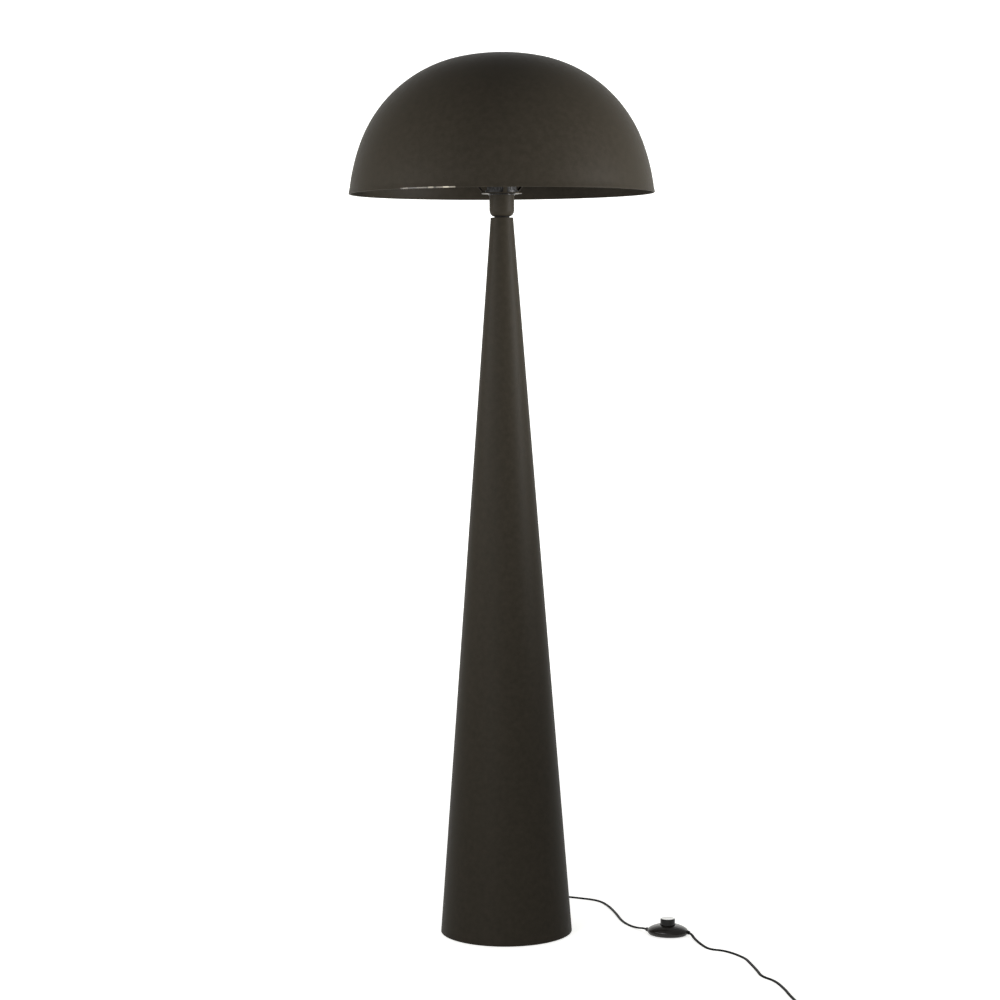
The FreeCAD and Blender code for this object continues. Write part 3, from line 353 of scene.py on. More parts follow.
class LAMP_OT_cone(bpy.types.Operator):
    """Model the rolled cone, with its rounded top edge"""

    bl_idname = "floor_lamp.cone"
    bl_label = "Cone"

    def execute(self, context):
        top = high("cone_body").z
        foot = low("cone_body").z
        foot_radius = high("cone_body").x
        top_radius, edge, wall, bore, head = 19.2, 0.8, 1.2, 5.15, 3.0
        slope = (foot_radius - top_radius) / (top - edge - foot)
        ceiling = top - head
        outside = [(foot_radius - slope * (z - foot), z) for z in (foot, foot + 1.2, 14, 40, 200, 500, 800, 1100)]
        corner = arc((top_radius - edge, top - edge), edge, 90, 0, 6)
        inside = [(bore, top), (bore, ceiling), (foot_radius - wall - slope * (ceiling - foot), ceiling)]
        inside += [(foot_radius - wall, foot), (foot_radius, foot)]
        cone = lathe(outside + corner + inside, "cone", 256, 25)
        finish_piece(cone, "lamp", "lamp_paint", powder_coat(), "cone_body")
        return {"FINISHED"}


class LAMP_OT_base(bpy.types.Operator):
    """Finish the weighted base under the cone"""

    bl_idname = "floor_lamp.base"
    bl_label = "Base"

    def execute(self, context):
        # Moulded EPDM rubber: soft black with no shine.
        rubber = surface("rubber, moulded", linear("#1b1a19"), linear("#232220"), 0.85, 0.6, 0.02)
        # Sheet steel, zinc plated: pale grey with a faint spangle.
        zinc = surface(
            "steel, zinc plated", linear("#8d9093"), linear("#a7aaab"), 0.38, 1.5, 0.01, patch=12, metallic=1.0
        )
        # Grey iron, sand cast and dipped: dark and coarse.
        iron = surface(
            "iron, sand cast", linear("#2b2a29"), linear("#3a3836"), 0.8, 1.2, 0.25, patch=14, metallic=0.3
        )
        finish_node("base_pad", rubber)
        finish_node("base_plate", zinc)
        finish_node("base_brackets", zinc)
        finish_node("ballast", iron)
        for node in ("base_bolts", "stem_nut", "stem_washer", "cup_nut", "threaded_nipple"):
            finish_node(node, zinc)
        return {"FINISHED"}


# ---------------------------------------------------------------- lampholder


class LAMP_OT_lampholder(bpy.types.Operator):
    """Model the cup, the moulded holder with its thread and the rolled screw shell"""

    bl_idname = "floor_lamp.lampholder"
    bl_label = "Lampholder"

    def execute(self, context):
        paint = powder_coat()
        base = low("lampholder_cup").z
        top = high("lampholder_cup").z
        outer, wall, corner, rise, bore = 21.0, 1.0, 8.2, 11.75, 5.15
        section = [(bore, base), *arc((outer - corner, base + rise), corner, 180, 90, 14, rise)]
        section += [(outer, top - 0.3), (outer - 0.3, top), (outer - wall + 0.3, top), (outer - wall, top - 0.3)]
        section += arc((outer - corner, base + rise), corner - wall, 90, 180, 14, rise - wall)
        section += [(bore, base + wall), (bore, base)]
        finish_piece(lathe(section, "holder_cup", 128), "lamp", "lamp_paint", paint, "lampholder_cup")

        # Phenolic moulding compound: deep black with a soft shine.
        phenolic = surface(
            "phenolic, moulded black", linear("#0c0b0b"), linear("#121110"), 0.25, 0.8, 0.01, Specular_IOR_Level=0.35
        )
        # Glazed steatite: off-white with a glassy skin.
        steatite = surface("steatite, glazed", linear("#dcd8cd"), linear("#e6e2d8"), 0.22, 1.0, 0.01)
        # Brass, nickel plated: warm silver.
        nickel = surface("brass, nickel plated", linear("#b4a88f"), linear("#c8bda6"), 0.25, 0.9, 0.01, metallic=1.0)
        cup_height, flange_thickness, thread_length = 36, 2.1, 22
        flange_top = base + cup_height + flange_thickness
        thread_top = flange_top + thread_length
        edge = (flange_top - top) / 2
        inner, shank, flange, root, crest, pitch = 14.6, 19.8, 22.8, 19.2, 19.75, 2.0
        section = [(inner, top - 14), (shank, top - 14), (shank, top)]
        section += [*arc((flange - edge, top + edge), edge, 180, 0, 8), (root, flange_top)]
        for turn in range(int((thread_top - flange_top - 1) / pitch)):
            foot = flange_top + 0.5 + turn * pitch
            section += [(root, foot), (crest, foot + 0.6), (crest, foot + 1.1), (root, foot + 1.7)]
        section += [(root, thread_top - 0.4), (root - 0.4, thread_top), (inner, thread_top), (inner, top - 14)]
        body = lathe(section, "holder_body", 128)
        finish_piece(body, "lamp", "black_gloss", phenolic, "lampholder_body")

        foot = low("screw_shell").z
        tall = high("screw_shell").z - foot
        outside = []
        steps, wave_pitch, wave_depth, crest, wall = 44, 3.6, 0.25, 13.7 + 0.49, 0.3
        for i in range(steps + 1):
            wave = wave_depth * (1 + math.cos(2 * math.pi * i / steps * tall / wave_pitch))
            outside.append((crest - wave, foot + tall * i / steps))
        inside = [(r - wall, z) for r, z in reversed(outside)]
        shell = lathe(outside + inside + outside[:1], "holder_shell", 96)
        finish_piece(shell, "lamp", "nickel_brass", nickel, "screw_shell")
        finish_node("terminal_block", steatite)
        finish_node("centre_contact", nickel)
        finish_node("terminal_screws", nickel)
        foot, head = low("neck_washer").z, high("neck_washer").z
        inner, outer, edge = 5.2, 12.8, 0.3
        section = [(inner, foot), (outer - edge, foot), (outer, foot + edge), (outer, head - edge)]
        section += [(outer - edge, head), (inner, head)]
        spacer = lathe(section + section[:1], "neck_spacer", 96)
        # Nitrile rubber, hard: black and dull.
        nitrile = surface(
            "rubber, hard nitrile", linear("#0b0a0a"), linear("#100f0e"), 0.7, 0.8, 0.01, Specular_IOR_Level=0.15
        )
        finish_piece(spacer, "lamp", "black_rubber", nitrile, "neck_washer")
        return {"FINISHED"}


# ---------------------------------------------------------------- shade


# The dome's section is three tangent arcs. These are the angles from straight up at which they end, in degrees,
# and the radius of the lowest.
CROWN_END, SHOULDER_END, SKIRT_END = 11.9, 69.64, 84.3
SKIRT_RADIUS = 336.0


def dome_arcs(rise, rim):
    """Radii of the dome's crown, shoulder and skirt for a height and a radius at its rim."""
    crown, shoulder, edge = (math.radians(a) for a in (CROWN_END, SHOULDER_END, SKIRT_END))
    skirt = SKIRT_RADIUS
    across = rim - skirt * (math.sin(edge) - math.sin(shoulder))
    up = rise - skirt * (math.cos(shoulder) - math.cos(edge))
    sines = math.sin(shoulder) - math.sin(crown)
    cosines = math.cos(crown) - math.cos(shoulder)
    spread = math.sin(crown) * cosines - sines * (1 - math.cos(crown))
    crown_radius = (across * cosines - sines * up) / spread
    shoulder_radius = (math.sin(crown) * up - (1 - math.cos(crown)) * across) / spread
    return crown_radius, shoulder_radius, skirt


def shoulder_middle(tall, crown_radius, shoulder_radius):
    """Centre of the shoulder's arc, for a dome of this height."""
    turn = math.radians(CROWN_END)
    return (
        (crown_radius - shoulder_radius) * math.sin(turn),
        tall - crown_radius + (crown_radius - shoulder_radius) * math.cos(turn),
    )


def dome_section(inset, rim, tall, hem):
    """The dome's curve from its middle to its rim, an inset inside its outer face."""
    crown_radius, shoulder_radius, skirt = dome_arcs(tall - hem, rim)
    crown_centre = (0, tall - crown_radius)
    shoulder_centre = shoulder_middle(tall, crown_radius, shoulder_radius)
    turn = math.radians(SHOULDER_END)
    skirt_centre = (
        shoulder_centre[0] - (skirt - shoulder_radius) * math.sin(turn),
        shoulder_centre[1] - (skirt - shoulder_radius) * math.cos(turn),
    )
    curve = arc(crown_centre, crown_radius - inset, 0, CROWN_END, 9)
    curve += arc(shoulder_centre, shoulder_radius - inset, CROWN_END, SHOULDER_END, 30)[1:]
    curve += arc(skirt_centre, skirt - inset, SHOULDER_END, SKIRT_END, 10)[1:]
    return curve


class LAMP_OT_shade_dome(bpy.types.Operator):
    """Model the spun dome with its rolled hem"""

    bl_idname = "floor_lamp.shade_dome"
    bl_label = "Shade dome"

    def execute(self, context):
        settings = context.scene.lamp_shade
        rim = settings.rim_radius / MM
        tall = settings.dome_height / MM
        hem = settings.hem_radius / MM
        wall = settings.wall / MM
        base = low("shade_dome").z
        outer = dome_section(0, rim, tall, hem)
        inner = dome_section(wall, rim, tall, hem)
        # The bead is open at its top, where the wall runs into it.
        bead_inset, bead_start, bead_end = 0.7, 60, 290
        bead = arc((rim - bead_inset, hem), hem, bead_start, bead_end, 14)
        section = [(r, base + z) for r, z in outer[:-1] + bead + inner[-2::-1]]
        dome = lathe(section, "dome", 192, 50)
        finish_piece(dome, "lamp", "shade_paint", powder_coat(), "shade_dome")
        # The left front of the rim gets bright metal in dashes between these places across, in millimetres: a painted
        # glint on the hem.
        first, last = -163, -73
        glint_dashes = [(-162, 0.0), (-159.5, 0.1), (-151.5, 0.0), (-137.2, 0.06), (-121.3, 0.0), (-118.9, 0.25)]
        glint_dashes += [(-110.2, 0.0), (-105.4, 0.12), (-94.5, 0.45), (-86, 0.17), (-74.4, 0.0)]
        dome.data.materials.append(rim_glint_patch(first, last, glint_dashes))
        bead_top = base + hem * 1.5
        for face in dome.data.polygons:
            across, out, up = face.center / MM
            outside = face.normal.dot((across, out, 0)) > 0
            if first < across < last and out < 0 and up < bead_top and outside:
                face.material_index = 1
        return {"FINISHED"}


class LAMP_OT_shade_spider(bpy.types.Operator):
    """Model the disc and the three strip arms that carry the dome"""

    bl_idname = "floor_lamp.shade_spider"
    bl_label = "Shade spider"

    def execute(self, context):
        paint = powder_coat()
        base = low("shade_spider").z
        disc_bore, disc_radius, disc_thickness = 20.1, 34, 1.5
        disc = lathe(ring_section(disc_bore, disc_radius, base, base + disc_thickness), "spider_disc", 128)
        soften(disc, 0.4)
        finish_piece(disc, "lamp", "lamp_paint", paint, "shade_spider")
        # The disc's ends to the left and right get a paler metal finish: painted highlights where the side lights
        # catch its edge.
        painted_highlight = surface(
            "steel, painted side highlight", linear("#3d372d"), linear("#4b4539"), 0.42, 1.2, 0.01, metallic=1.0
        )
        disc.data.materials.append(painted_highlight)
        sideways = 0.72
        for face in disc.data.polygons:
            if abs(face.center.x) > sideways * math.hypot(face.center.x, face.center.y):
                face.material_index = 1
        settings = context.scene.lamp_shade
        tall = settings.dome_height / MM
        hem = settings.hem_radius / MM
        crown_radius, shoulder_radius, _ = dome_arcs(tall - hem, settings.rim_radius / MM)
        centre = shoulder_middle(tall, crown_radius, shoulder_radius)
        # Each arm's middle runs under the dome's sheet, from the angle where it meets it.
        gap, half_thickness = 0.3, 1.0
        reach = shoulder_radius - settings.wall / MM - gap - half_thickness
        meeting, foot_length = 45.4, 14
        foot = arc(centre, reach, meeting - 0.5, meeting - math.degrees(foot_length / reach), 8)
        bend = arc(centre, reach, meeting, meeting, 1)[0]
        tab = [(29.0, 2.5), (32.3, 2.5), (33.1, 2.7), (34.1, 3.6)]
        knee = (tab[-1][0] + (bend[0] - tab[-1][0]) * 0.99, tab[-1][1] + (bend[1] - tab[-1][1]) * 0.99)
        line = [(r, base + z) for r, z in [*tab, knee, *foot]]
        arms = []
        width = 6.5
        for index, azimuth in enumerate((-81, 39, 159)):
            arm = draw_line(line, f"spider_arm_{index}")
            bpy.ops.mesh.select_all(action="SELECT")
            bpy.ops.transform.translate(value=(0, -width / 2 * MM, 0))
            bpy.ops.mesh.extrude_region_move(TRANSFORM_OT_translate={"value": (0, width * MM, 0)})
            close_up(arm)
            apply_modifier(arm, "SOLIDIFY", thickness=2 * half_thickness * MM, offset=0, use_even_offset=True)
            soften(arm, 0.35)
            settle(arm, Matrix.Rotation(math.radians(azimuth), 4, "Z"))
            arms.append(arm)
        finish_piece(join(arms, "spider_strips"), "lamp", "lamp_paint", paint, "spider_arms")
        return {"FINISHED"}


class LAMP_OT_shade_ring(bpy.types.Operator):
    """Model the ring nut that clamps the spider, with finger grips round its collar"""

    bl_idname = "floor_lamp.shade_ring"
    bl_label = "Shade ring"

    def execute(self, context):
        base = low("shade_ring").z
        inner, flange, flange_height, collar, tall = 19.95, 28.2, 4, 25, 12
        section = [(inner, base), (flange, base), (flange, base + flange_height), (collar, base + flange_height)]
        section += [(collar, base + tall), (inner, base + tall), (inner, base)]
        steps = 144
        ring = lathe(section, "ring_nut", steps)
        # Three of every six corners round the collar are sunk, which makes its grips.
        grip_depth = 0.028
        for corner in ring.data.vertices:
            angle = math.atan2(corner.co.y, corner.co.x)
            outward = math.hypot(corner.co.x, corner.co.y)
            if collar - 0.1 < outward / MM < collar + 0.1:
                shrink = 1 - grip_depth * (round(angle / math.pi * (steps // 2)) % 6 in (0, 1, 2))
                corner.co.x *= shrink
                corner.co.y *= shrink
        soften(ring, 0.3)
        # Phenolic moulding compound: black, and duller than the holder.
        phenolic = surface(
            "phenolic, moulded black ring",
            linear("#0c0b0b"),
            linear("#131211"),
            0.45,
            0.8,
            0.01,
            Specular_IOR_Level=0.25,
        )
        finish_piece(ring, "lamp", "black_gloss", phenolic, "shade_ring")
        return {"FINISHED"}


# ---------------------------------------------------------------- foot switch

SWITCH_PLACE = Matrix.Translation((0.276, -0.0385, 0)) @ Matrix.Rotation(math.radians(-17), 4, "Z")


def stacked_ovals(rows, name, close_first=True):
    """A closed skin through ovals given as (half length, half width, height), drawn by extruding a ring."""
    clear_selection()
    bpy.ops.mesh.primitive_circle_add(
        vertices=96, radius=MM, fill_type="NGON" if close_first else "NOTHING", location=(0, 0, rows[0][2] * MM)
    )
    piece = bpy.context.object
    piece.name = name
    bpy.ops.object.transform_apply(location=True)
    bpy.ops.object.mode_set(mode="EDIT")
    bpy.ops.mesh.select_all(action="SELECT")
    bpy.ops.transform.resize(value=(rows[0][0], rows[0][1], 1), center_override=(0, 0, 0))
    for before, row in zip(rows, rows[1:]):
        bpy.ops.mesh.extrude_region_move(TRANSFORM_OT_translate={"value": (0, 0, (row[2] - before[2]) * MM)})
        bpy.ops.transform.resize(value=(row[0] / before[0], row[1] / before[1], 1), center_override=(0, 0, 0))
    bpy.ops.object.mode_set(mode="OBJECT")
    return piece


class LAMP_OT_foot_switch(bpy.types.Operator):
    """Model the two halves of the foot switch's housing"""

    bl_idname = "floor_lamp.foot_switch"
    bl_label = "Foot switch"

    def execute(self, context):
        # ABS, injection moulded with a fine spark-eroded skin: satin, with a soft wide highlight.
        tone = context.scene.lamp_switch.housing
        darker = tuple(c * 0.85 for c in tone)
        abs_skin = surface(
            "ABS, moulded satin", darker, tone, 0.24, 0.7, 0.012, patch=10, spread=0.04, Specular_IOR_Level=0.3
        )
        half, across, seam, collar = 34.9, 28.5, 7.2, 14.2
        sides = [(34.5, 7.3), (34.9, 7.6), (34.7, 8.9), (33.9, 10.3), (32.4, 11.7), (30.2, 13.1), (27.4, 14.5)]
        sides += [(24.2, 15.7), (21.0, 16.7), (18.2, 17.4), (16.0, 17.85), (14.8, 18.0), (collar, 18.0)]
        squeeze = (across - collar) / (half - collar)
        inner_edge = (32.6, 26.2, 7.3)
        hole = 12.95
        upper_rows = [inner_edge] + [(r, collar + (r - collar) * squeeze, z) for r, z in sides]
        upper_rows += [(13.3, 13.3, 18.0), (hole, hole, 17.65), (hole, hole, 14.7), (15, 14.8, 14.6), inner_edge]
        upper = stacked_ovals(upper_rows, "switch_top", close_first=False)
        close_up(upper, 50)
        settle(upper, SWITCH_PLACE)
        finish_piece(upper, "lamp", "switch_plastic", abs_skin, "switch_upper")
        lower_rows = []
        foot, skirt, seam_gap = 0.6, 4.5, 0.3
        for degrees in (0, 15, 30, 45, 60, 75, 90):
            turn = math.radians(degrees)
            inset = skirt * (1 - math.sin(turn))
            lower_rows.append((half - inset, across - inset, foot + (seam - seam_gap - foot) * (1 - math.cos(turn))))
        lower_rows += [(34.5, 28.1, seam), (33.4, 27.0, seam), (33.4, 27.0, 2.6)]
        lower = stacked_ovals(lower_rows, "switch_bottom")
        work_on(lower)
        bpy.ops.object.mode_set(mode="EDIT")
        bpy.ops.mesh.edge_face_add()
        close_up(lower, 50)
        settle(lower, SWITCH_PLACE)
        finish_piece(lower, "lamp", "switch_plastic", abs_skin, "switch_lower")
        return {"FINISHED"}


class LAMP_OT_switch_button(bpy.types.Operator):
    """Model the foot button"""

    bl_idname = "floor_lamp.switch_button"
    bl_label = "Foot button"

    def execute(self, context):
        # ABS, polished mould: black with a glossy face.
        tone = context.scene.lamp_switch.button
        gloss = surface(
            "ABS, polished",
            tuple(c * 0.9 for c in tone),
            tone,
            0.2,
            1.2,
            0.004,
            patch=15,
            spread=0.03,
            Specular_IOR_Level=0.2,
        )
        radius, top, edge, wall = 12.6, high("switch_button").z, 1.2, 1.8
        bore, foot, flange, flange_top = 9.05, 12.7, 13.6, 14.3
        section = [(bore, foot), (flange, foot), (flange, flange_top), (radius, flange_top), (radius, top - edge)]
        section += arc((radius - edge, top - edge), edge, 90, 8, 6)
        section += [(8.2, top - 0.12), (5, top - 0.22), (2, top - 0.26), (0, top - 0.27), (0, top - wall)]
        section += [(bore, top - wall), (bore, foot)]
        button = lathe(section, "button", 96, 30)
        settle(button, SWITCH_PLACE)
        finish_piece(button, "foot_button", "button_plastic", gloss, "switch_button")
        # The button's upward faces get a lighter, glossier finish: the gloss is the polished face, the lighter colour
        # a painted highlight of the bright surround it mirrors.
        painted_highlight = surface(
            "ABS, painted top highlight", tone, tuple(c * 1.6 for c in tone), 0.12, 1.2, 0.002, Coat_Weight=1.0, Coat_IOR=1.8
        )
        button.data.materials.append(painted_highlight)
        facing_up = 0.85
        for face in button.data.polygons:
            if face.normal.z > facing_up:
                face.material_index = 1
        return {"FINISHED"}


class LAMP_OT_switch_fittings(bpy.types.Operator):
    """Finish the feet, bushes, screws, spring and terminals of the foot switch"""

    bl_idname = "floor_lamp.switch_fittings"
    bl_label = "Switch fittings"

    def execute(self, context):
        # Moulded rubber, blackened steel and bright spring wire.
        rubber = surface("rubber, switch feet and bushes", linear("#1a1918"), linear("#222120"), 0.7, 0.6, 0.02)
        steel = surface("steel, blackened screws", linear("#3a3a3b"), linear("#474748"), 0.4, 0.8, 0.01, metallic=1.0)
        spring = surface("steel, spring wire", linear("#77787a"), linear("#8c8d8f"), 0.3, 0.6, 0.01, metallic=1.0)
        for node in ("switch_feet", "switch_bush_in", "switch_bush_out"):
            finish_node(node, rubber)
        finish_node("switch_screws", steel)
        finish_node("switch_terminals", steel)
        finish_node("button_spring", spring)
        return {"FINISHED"}


# ---------------------------------------------------------------- flex

# Points of the flex on the floor, chosen along it, in millimetres. The flat flex lies at half its thickness.
LIE = 1.45
LAMP_TO_SWITCH = [
    (0, 131, 16),
    (0, 149, 16),
    (2, 174, 6),
    (7, 204, LIE),
    (33, 240, LIE),
    (84, 243, LIE),
    (134, 220, LIE),
    (167, 202, LIE),
    (182, 168, LIE),
    (194, 112, LIE),
    (202, 50, LIE),
    (216, 16, LIE),
    (227, -3, 3.2),
    (236.9, -17.7, 6.4),
    (242, -27, 6.6),
]
SWITCH_TO_COIL = [
    (310, -50, 6.6),
    (315.1, -59.3, 6.4),
    (318, -76, 3.4),
    (327, -109, LIE),
    (338, -141, LIE),
    (365, -150, LIE),
    (392, -195, LIE),
    (397, -226, LIE),
    (404, -272, LIE),
    (407, -308, LIE),
    (426, -333, LIE),
    (436, -383, LIE),
    (439, -413, LIE),
    (446, -455, LIE),
    (451, -490, LIE),
    (452, -508, LIE),
]
COIL_TO_PLUG = [
    (455, -528, 4.4),
    (455, -541, 4.3),
    (449, -563, 4.6),
    (430, -577, 6.3),
    (410, -578.5, 7),
    (397, -579.4, 7),
]


def coil_points():
    """Three turns in on the floor, half a turn that climbs, and turns back out on top."""
    points = []
    middle_x, middle_y, outer_radius, turn_gap = 489, -518, 37, 6.3
    layer_rise = 2.95
    # The spline cuts inside its points, so they lie a little further out.
    spread = 1.02
    per_turn = 16
    layer = 3 * per_turn
    climb = per_turn // 2
    total = 6 * per_turn
    for i in range(1, total + 1):
        inward = min(i, layer)
        outward = max(i - layer - climb, 0)
        radius = (outer_radius - turn_gap * (inward - outward) / per_turn) * spread
        share = min(max(i - layer, 0), climb) / climb
        angle = math.pi + 2 * math.pi * i / per_turn
        rise = layer_rise * share * share * (3 - 2 * share)
        points.append((middle_x + radius * math.cos(angle), middle_y + radius * math.sin(angle), LIE + rise))
    return points


def lay_flex(points, name):
    """A flat flex as one spline along its chosen points."""
    settings = bpy.context.scene.lamp_switch
    curve = bpy.data.curves.new(name, "CURVE")
    curve.dimensions = "3D"
    curve.twist_mode = "Z_UP"
    # A curve's box takes in the radius of its points, so the radius holds the half width and the rest is a share.
    half = settings.flex_width / 2
    curve.bevel_depth = settings.flex_thickness / 2 / half
    curve.extrude = 1 - curve.bevel_depth
    curve.bevel_resolution = 4
    curve.resolution_u = 8
    curve.use_fill_caps = True
    spline = curve.splines.new("NURBS")
    spline.points.add(len(points) - 1)
    for point, place in zip(spline.points, points):
        point.co = (*(value * MM for value in place), 1)
        point.tilt = math.pi / 2
        point.radius = half
    spline.order_u = 3
    spline.use_endpoint_u = True
    flex = bpy.data.objects.new(name, curve)
    bpy.context.scene.collection.objects.link(flex)
    return flex


class LAMP_OT_flex(bpy.types.Operator):
    """Lay the flat flex from the lamp through the foot switch to its plug"""

    bl_idname = "floor_lamp.flex"
    bl_label = "Flex"

    def execute(self, context):
        # PVC sheath, extruded: black and nearly matt.
        tone = context.scene.lamp_switch.flex
        darker = tuple(c * 0.8 for c in tone)
        sheath = surface("PVC, extruded flex", darker, tone, 0.5, 0.8, 0.01, patch=18, Specular_IOR_Level=0.05)
        first = lay_flex(LAMP_TO_SWITCH, "flex_lamp_to_switch")
        finish_piece(first, "lamp", "black_flex", sheath, "cord_lamp_to_switch")
        second = lay_flex(SWITCH_TO_COIL + coil_points() + COIL_TO_PLUG, "flex_switch_to_plug")
        finish_piece(
            second, "lamp", "black_flex", sheath, "cord_switch_to_coil", "cord_coil", "cord_coil_to_plug"
        )
        finish_node("inner_lead", sheath)
        return {"FINISHED"}


class LAMP_OT_cord_bush(bpy.types.Operator):
    """Model the ribbed bush where the flex leaves the cone"""

    bl_idname = "floor_lamp.cord_bush"
    bl_label = "Flex bush"

    def execute(self, context):
        start = low("cord_bush").y
        end = high("cord_bush").y
        exit_height = 0.016
        groove_start, groove_end = start + 1.5, end - 19.5
        section = [(2.55, start), (7.2, start), (7.5, start + 0.4), (7.5, groove_start), (5, groove_start)]
        section += [(5, groove_end), (7.5, groove_end), (7.5, groove_end + 1.1), (7.2, groove_end + 1.5)]
        ribs = 5
        step = (end - groove_end - 3) / ribs
        for rib in range(ribs):
            radius = 5.0 - 1.3 * rib / ribs
            at = groove_end + 1.8 + rib * step
            section += [(radius, at), (radius - 0.1, at + step * 0.55), (radius - 0.9, at + step * 0.62)]
            section += [(radius - 0.95, at + step * 0.94)]
        section += [(3.6, end - 0.8), (3.3, end), (2.55, end), (2.55, start)]
        bush = lathe(section, "flex_bush", 64)
        settle(bush, Matrix.Translation((0, 0, exit_height)) @ Matrix.Rotation(-math.pi / 2, 4, "X"))
        # Moulded rubber: soft black.
        rubber = surface("rubber, flex bush", linear("#1a1918"), linear("#222120"), 0.65, 0.6, 0.02)
        finish_piece(bush, "lamp", "black_rubber", rubber, "cord_bush")
        return {"FINISHED"}


class LAMP_OT_plug(bpy.types.Operator):
    """Model the flat plug, its ribbed strain relief and its two pins"""

    bl_idname = "floor_lamp.plug"
    bl_label = "Plug"

    def execute(self, context):
        where = Matrix.Translation((0.402, -0.579, 0)) @ Matrix.Rotation(math.radians(184.086), 4, "Z")
        middle = 0.007
        section = [(1.6, 0), (3.0, 0), (3.2, 0.4)]
        for rib in range(5):
            at = 1.2 + rib * 4.0
            radius = 3.2 + 2.2 * (rib + 0.5) / 5.5
            section += [(radius, at), (radius + 0.2, at + 2.4), (radius - 0.5, at + 2.6), (radius - 0.4, at + 3.6)]
        section += [(5.4, 21.4), (5.4, 26), (1.6, 26), (1.6, 0)]
        relief = lathe(section, "plug_relief", 48)
        settle(relief, Matrix.Translation((0, 0, middle)) @ Matrix.Rotation(math.pi / 2, 4, "Y"))
        clear_selection()
        bpy.ops.mesh.primitive_cube_add(size=1, location=(0.040, 0, middle), scale=(0.036, 0.026, 0.014))
        grip = bpy.context.object
        grip.name = "plug"
        bpy.ops.object.transform_apply(location=True, rotation=False, scale=True)
        bpy.ops.object.mode_set(mode="EDIT")
        bpy.ops.mesh.select_all(action="SELECT")
        bpy.ops.mesh.bisect(plane_co=(0.034, 0, 0), plane_no=(1, 0, 0))
        bpy.ops.object.mode_set(mode="OBJECT")
        # The end at the flex tapers to the relief's width.
        taper = 7 / 13
        for corner in grip.data.vertices:
            if corner.co.x < 0.0221:
                corner.co.y *= taper
        soften(grip, 3.0, 5, 25)
        plug = join([grip, relief], "plug")
        settle(plug, where)
        # PVC, moulded: black with a soft gloss.
        moulded = surface("PVC, moulded plug", linear("#151413"), linear("#1c1b19"), 0.45, 0.7, 0.02)
        finish_piece(plug, "lamp", "plug_plastic", moulded, "plug_body")
        end, half_spacing = 58.0, 9.3
        pins = []
        for side in (-1, 1):
            section = [(0, end - 5), (2, end - 5), (2, end + 17.6), (1.7, end + 18.5), (1.0, end + 19), (0, end + 19)]
            pin = lathe(section, "pin", 32)
            turned = Matrix.Translation((0, side * half_spacing * MM, middle)) @ Matrix.Rotation(math.pi / 2, 4, "Y")
            settle(pin, where @ turned)
            pins.append(pin)
        both = join(pins, "plug_pin_pair")
        # Brass, nickel plated: warm silver, like the holder's.
        brass = surface(
            "brass, nickel plated pins", linear("#b8ae98"), linear("#cac1ad"), 0.22, 0.9, 0.01, metallic=1.0
        )
        finish_piece(both, "lamp", "nickel_brass", brass, "plug_pins")
        return {"FINISHED"}


# ---------------------------------------------------------------- stage


class LAMP_OT_camera(bpy.types.Operator):
    """Set the camera at the height and distance of the picture"""

    bl_idname = "floor_lamp.camera"
    bl_label = "Camera"

    def execute(self, context):
        # Turns in radians and place in metres, fitted to the outlines of the picture.
        pitch, yaw, roll = 0.08104, 0.00326, 0.00662
        place = (-0.01996, -4.17713, 1.08556)
        level = Vector((math.cos(yaw), -math.sin(yaw), 0))
        ahead = Vector((math.sin(yaw), math.cos(yaw), 0))
        forward = ahead * math.cos(pitch) - Vector((0, 0, 1)) * math.sin(pitch)
        upward = ahead * math.sin(pitch) + Vector((0, 0, 1)) * math.cos(pitch)
        right = level * math.cos(roll) - upward * math.sin(roll)
        top = level * math.sin(roll) + upward * math.cos(roll)
        data = bpy.data.cameras.new("camera")
        data.lens = 88.52
        data.sensor_width = 36
        data.clip_end = 100
        camera = bpy.data.objects.new("camera", data)
        axes = Matrix((right, top, -forward)).transposed().to_4x4()
        camera.matrix_world = Matrix.Translation(place) @ axes
        context.scene.collection.objects.link(camera)
        context.scene.camera = camera
        return {"FINISHED"}


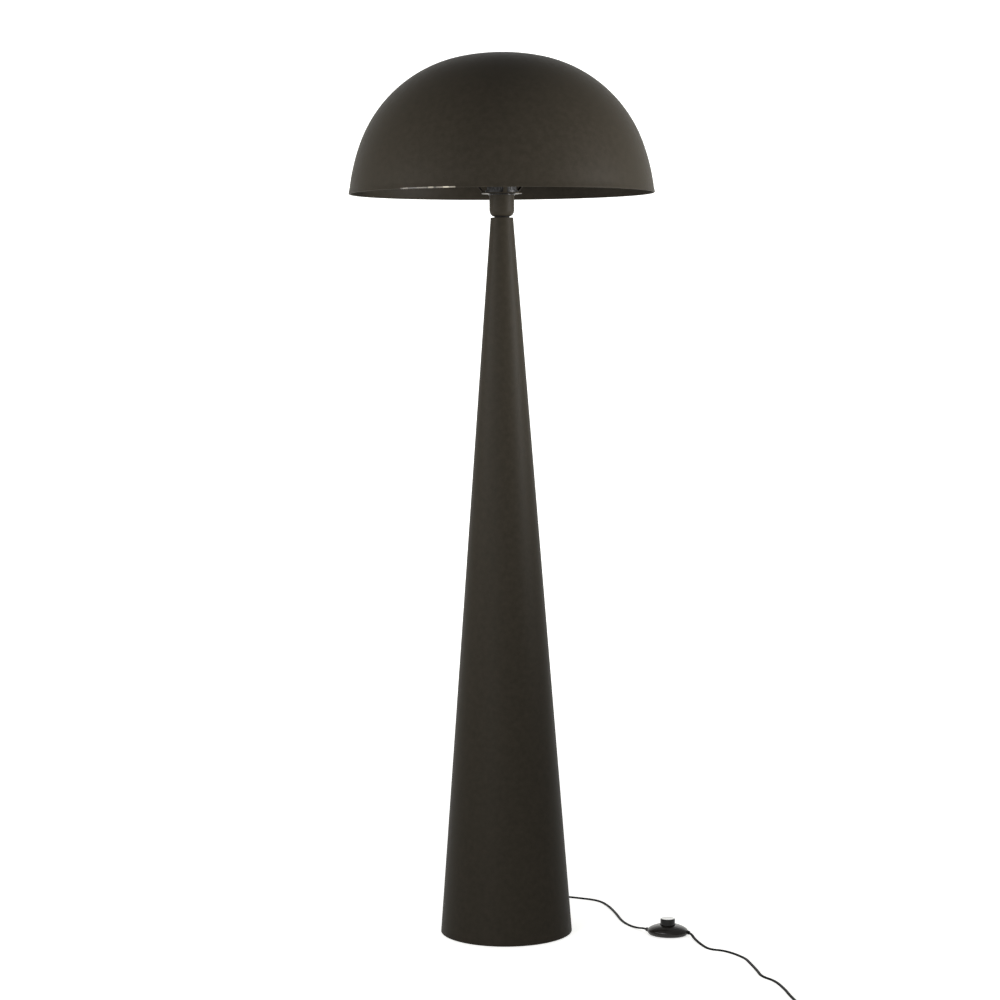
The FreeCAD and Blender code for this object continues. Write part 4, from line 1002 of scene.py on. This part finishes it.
class LAMP_OT_stage(bpy.types.Operator):
    """Set the pale floor and backdrop and the soft lights"""

    bl_idname = "floor_lamp.stage"
    bl_label = "Stage"

    def execute(self, context):
        settings = context.scene.lamp_stage
        floor = draw_line([(-9000, 0), (5000, 0), (6200, 500), (7000, 1700), (7200, 7000)], "ground")
        half_width = 9
        bpy.ops.mesh.select_all(action="SELECT")
        bpy.ops.transform.translate(value=(0, -half_width, 0))
        bpy.ops.mesh.extrude_region_move(TRANSFORM_OT_translate={"value": (0, 2 * half_width, 0)})
        bpy.ops.object.mode_set(mode="OBJECT")
        settle(floor, Matrix.Rotation(math.pi / 2, 4, "Z"))
        bpy.ops.object.shade_smooth()
        # Seamless paper: matt white. It partly glows, so that no shadow shows on the floor.
        paper, _, shader, _ = new_material("paper, seamless")
        shader.inputs["Base Color"].default_value = rgba(settings.ground)
        shader.inputs["Roughness"].default_value = 0.9
        shader.inputs["Emission Color"].default_value = rgba(settings.ground)
        shader.inputs["Emission Strength"].default_value = settings.glow
        floor.data.materials.append(paper)
        world = bpy.data.worlds.new("surround")
        world.use_nodes = True
        background = world.node_tree.nodes["Background"]
        background.inputs["Color"].default_value = (1, 1, 1, 1)
        background.inputs["Strength"].default_value = settings.sky
        context.scene.world = world
        context.scene.view_settings.view_transform = "Standard"
        # Name, place, aim and size in metres, power in watts, spread of the beam in degrees. The side lights have
        # narrow beams, which keep most of their light off the floor.
        lights = [
            ("left", (-2.24, -0.73, 1.3), (0, 0, 1.28), (1.4, 0.4), settings.left_power, 56),
            ("right", (2.27, -0.61, 1.15), (0, 0, 1.4), (0.7, 0.7), settings.right_power, 46),
            ("front", (-2.0, -3.2, 1.0), (0, 0, 1.15), (1.6, 0.7), settings.front_power, 90),
            ("paper_left", (-3.2, 3.2, 2.2), (0, 6.6, 1.6), (1.5, 1.5), settings.paper_power, 180),
            ("paper_right", (3.2, 3.2, 2.2), (0, 6.6, 1.6), (1.5, 1.5), settings.paper_power, 180),
        ]
        for name, place, aim, size, power, spread in lights:
            data = bpy.data.lights.new(name, "AREA")
            data.shape = "RECTANGLE"
            data.size, data.size_y = size
            data.energy = power
            data.spread = math.radians(spread)
            lamp = bpy.data.objects.new("light_" + name, data)
            lamp.location = place
            lamp.rotation_euler = (Vector(aim) - Vector(place)).to_track_quat("-Z", "Y").to_euler()
            context.scene.collection.objects.link(lamp)
        return {"FINISHED"}


# ---------------------------------------------------------------- add-on

GROUPS = {"lamp_paint": LampPaint, "lamp_shade": LampShade, "lamp_switch": LampSwitch, "lamp_stage": LampStage}
OPERATORS = [
    LAMP_OT_camera,
    LAMP_OT_stage,
    LAMP_OT_cone,
    LAMP_OT_base,
    LAMP_OT_lampholder,
    LAMP_OT_shade_dome,
    LAMP_OT_shade_spider,
    LAMP_OT_shade_ring,
    LAMP_OT_foot_switch,
    LAMP_OT_switch_button,
    LAMP_OT_switch_fittings,
    LAMP_OT_plug,
    LAMP_OT_cord_bush,
    LAMP_OT_flex,
]


class LAMP_PT_panel(bpy.types.Panel):
    """Sizes, colours and the steps that build the lamp"""

    bl_idname = "LAMP_PT_panel"
    bl_label = "Mushroom floor lamp"
    bl_space_type = "VIEW_3D"
    bl_region_type = "UI"
    bl_category = "Floor lamp"

    def draw(self, context):
        for group in GROUPS:
            settings = getattr(context.scene, group)
            for name in settings.__annotations__:
                self.layout.prop(settings, name)
        for operator in OPERATORS:
            self.layout.operator(operator.bl_idname)


CLASSES = [*GROUPS.values(), *OPERATORS, LAMP_PT_panel]


def register():
    for item in CLASSES:
        bpy.utils.register_class(item)
    for name, group in GROUPS.items():
        setattr(bpy.types.Scene, name, PointerProperty(type=group))


def unregister():
    for name in GROUPS:
        delattr(bpy.types.Scene, name)
    for item in reversed(CLASSES):
        bpy.utils.unregister_class(item)


def main():
    register()
    for operator in OPERATORS:
        group, name = operator.bl_idname.split(".")
        getattr(getattr(bpy.ops, group), name)()


if __name__ == "__main__":
    main()
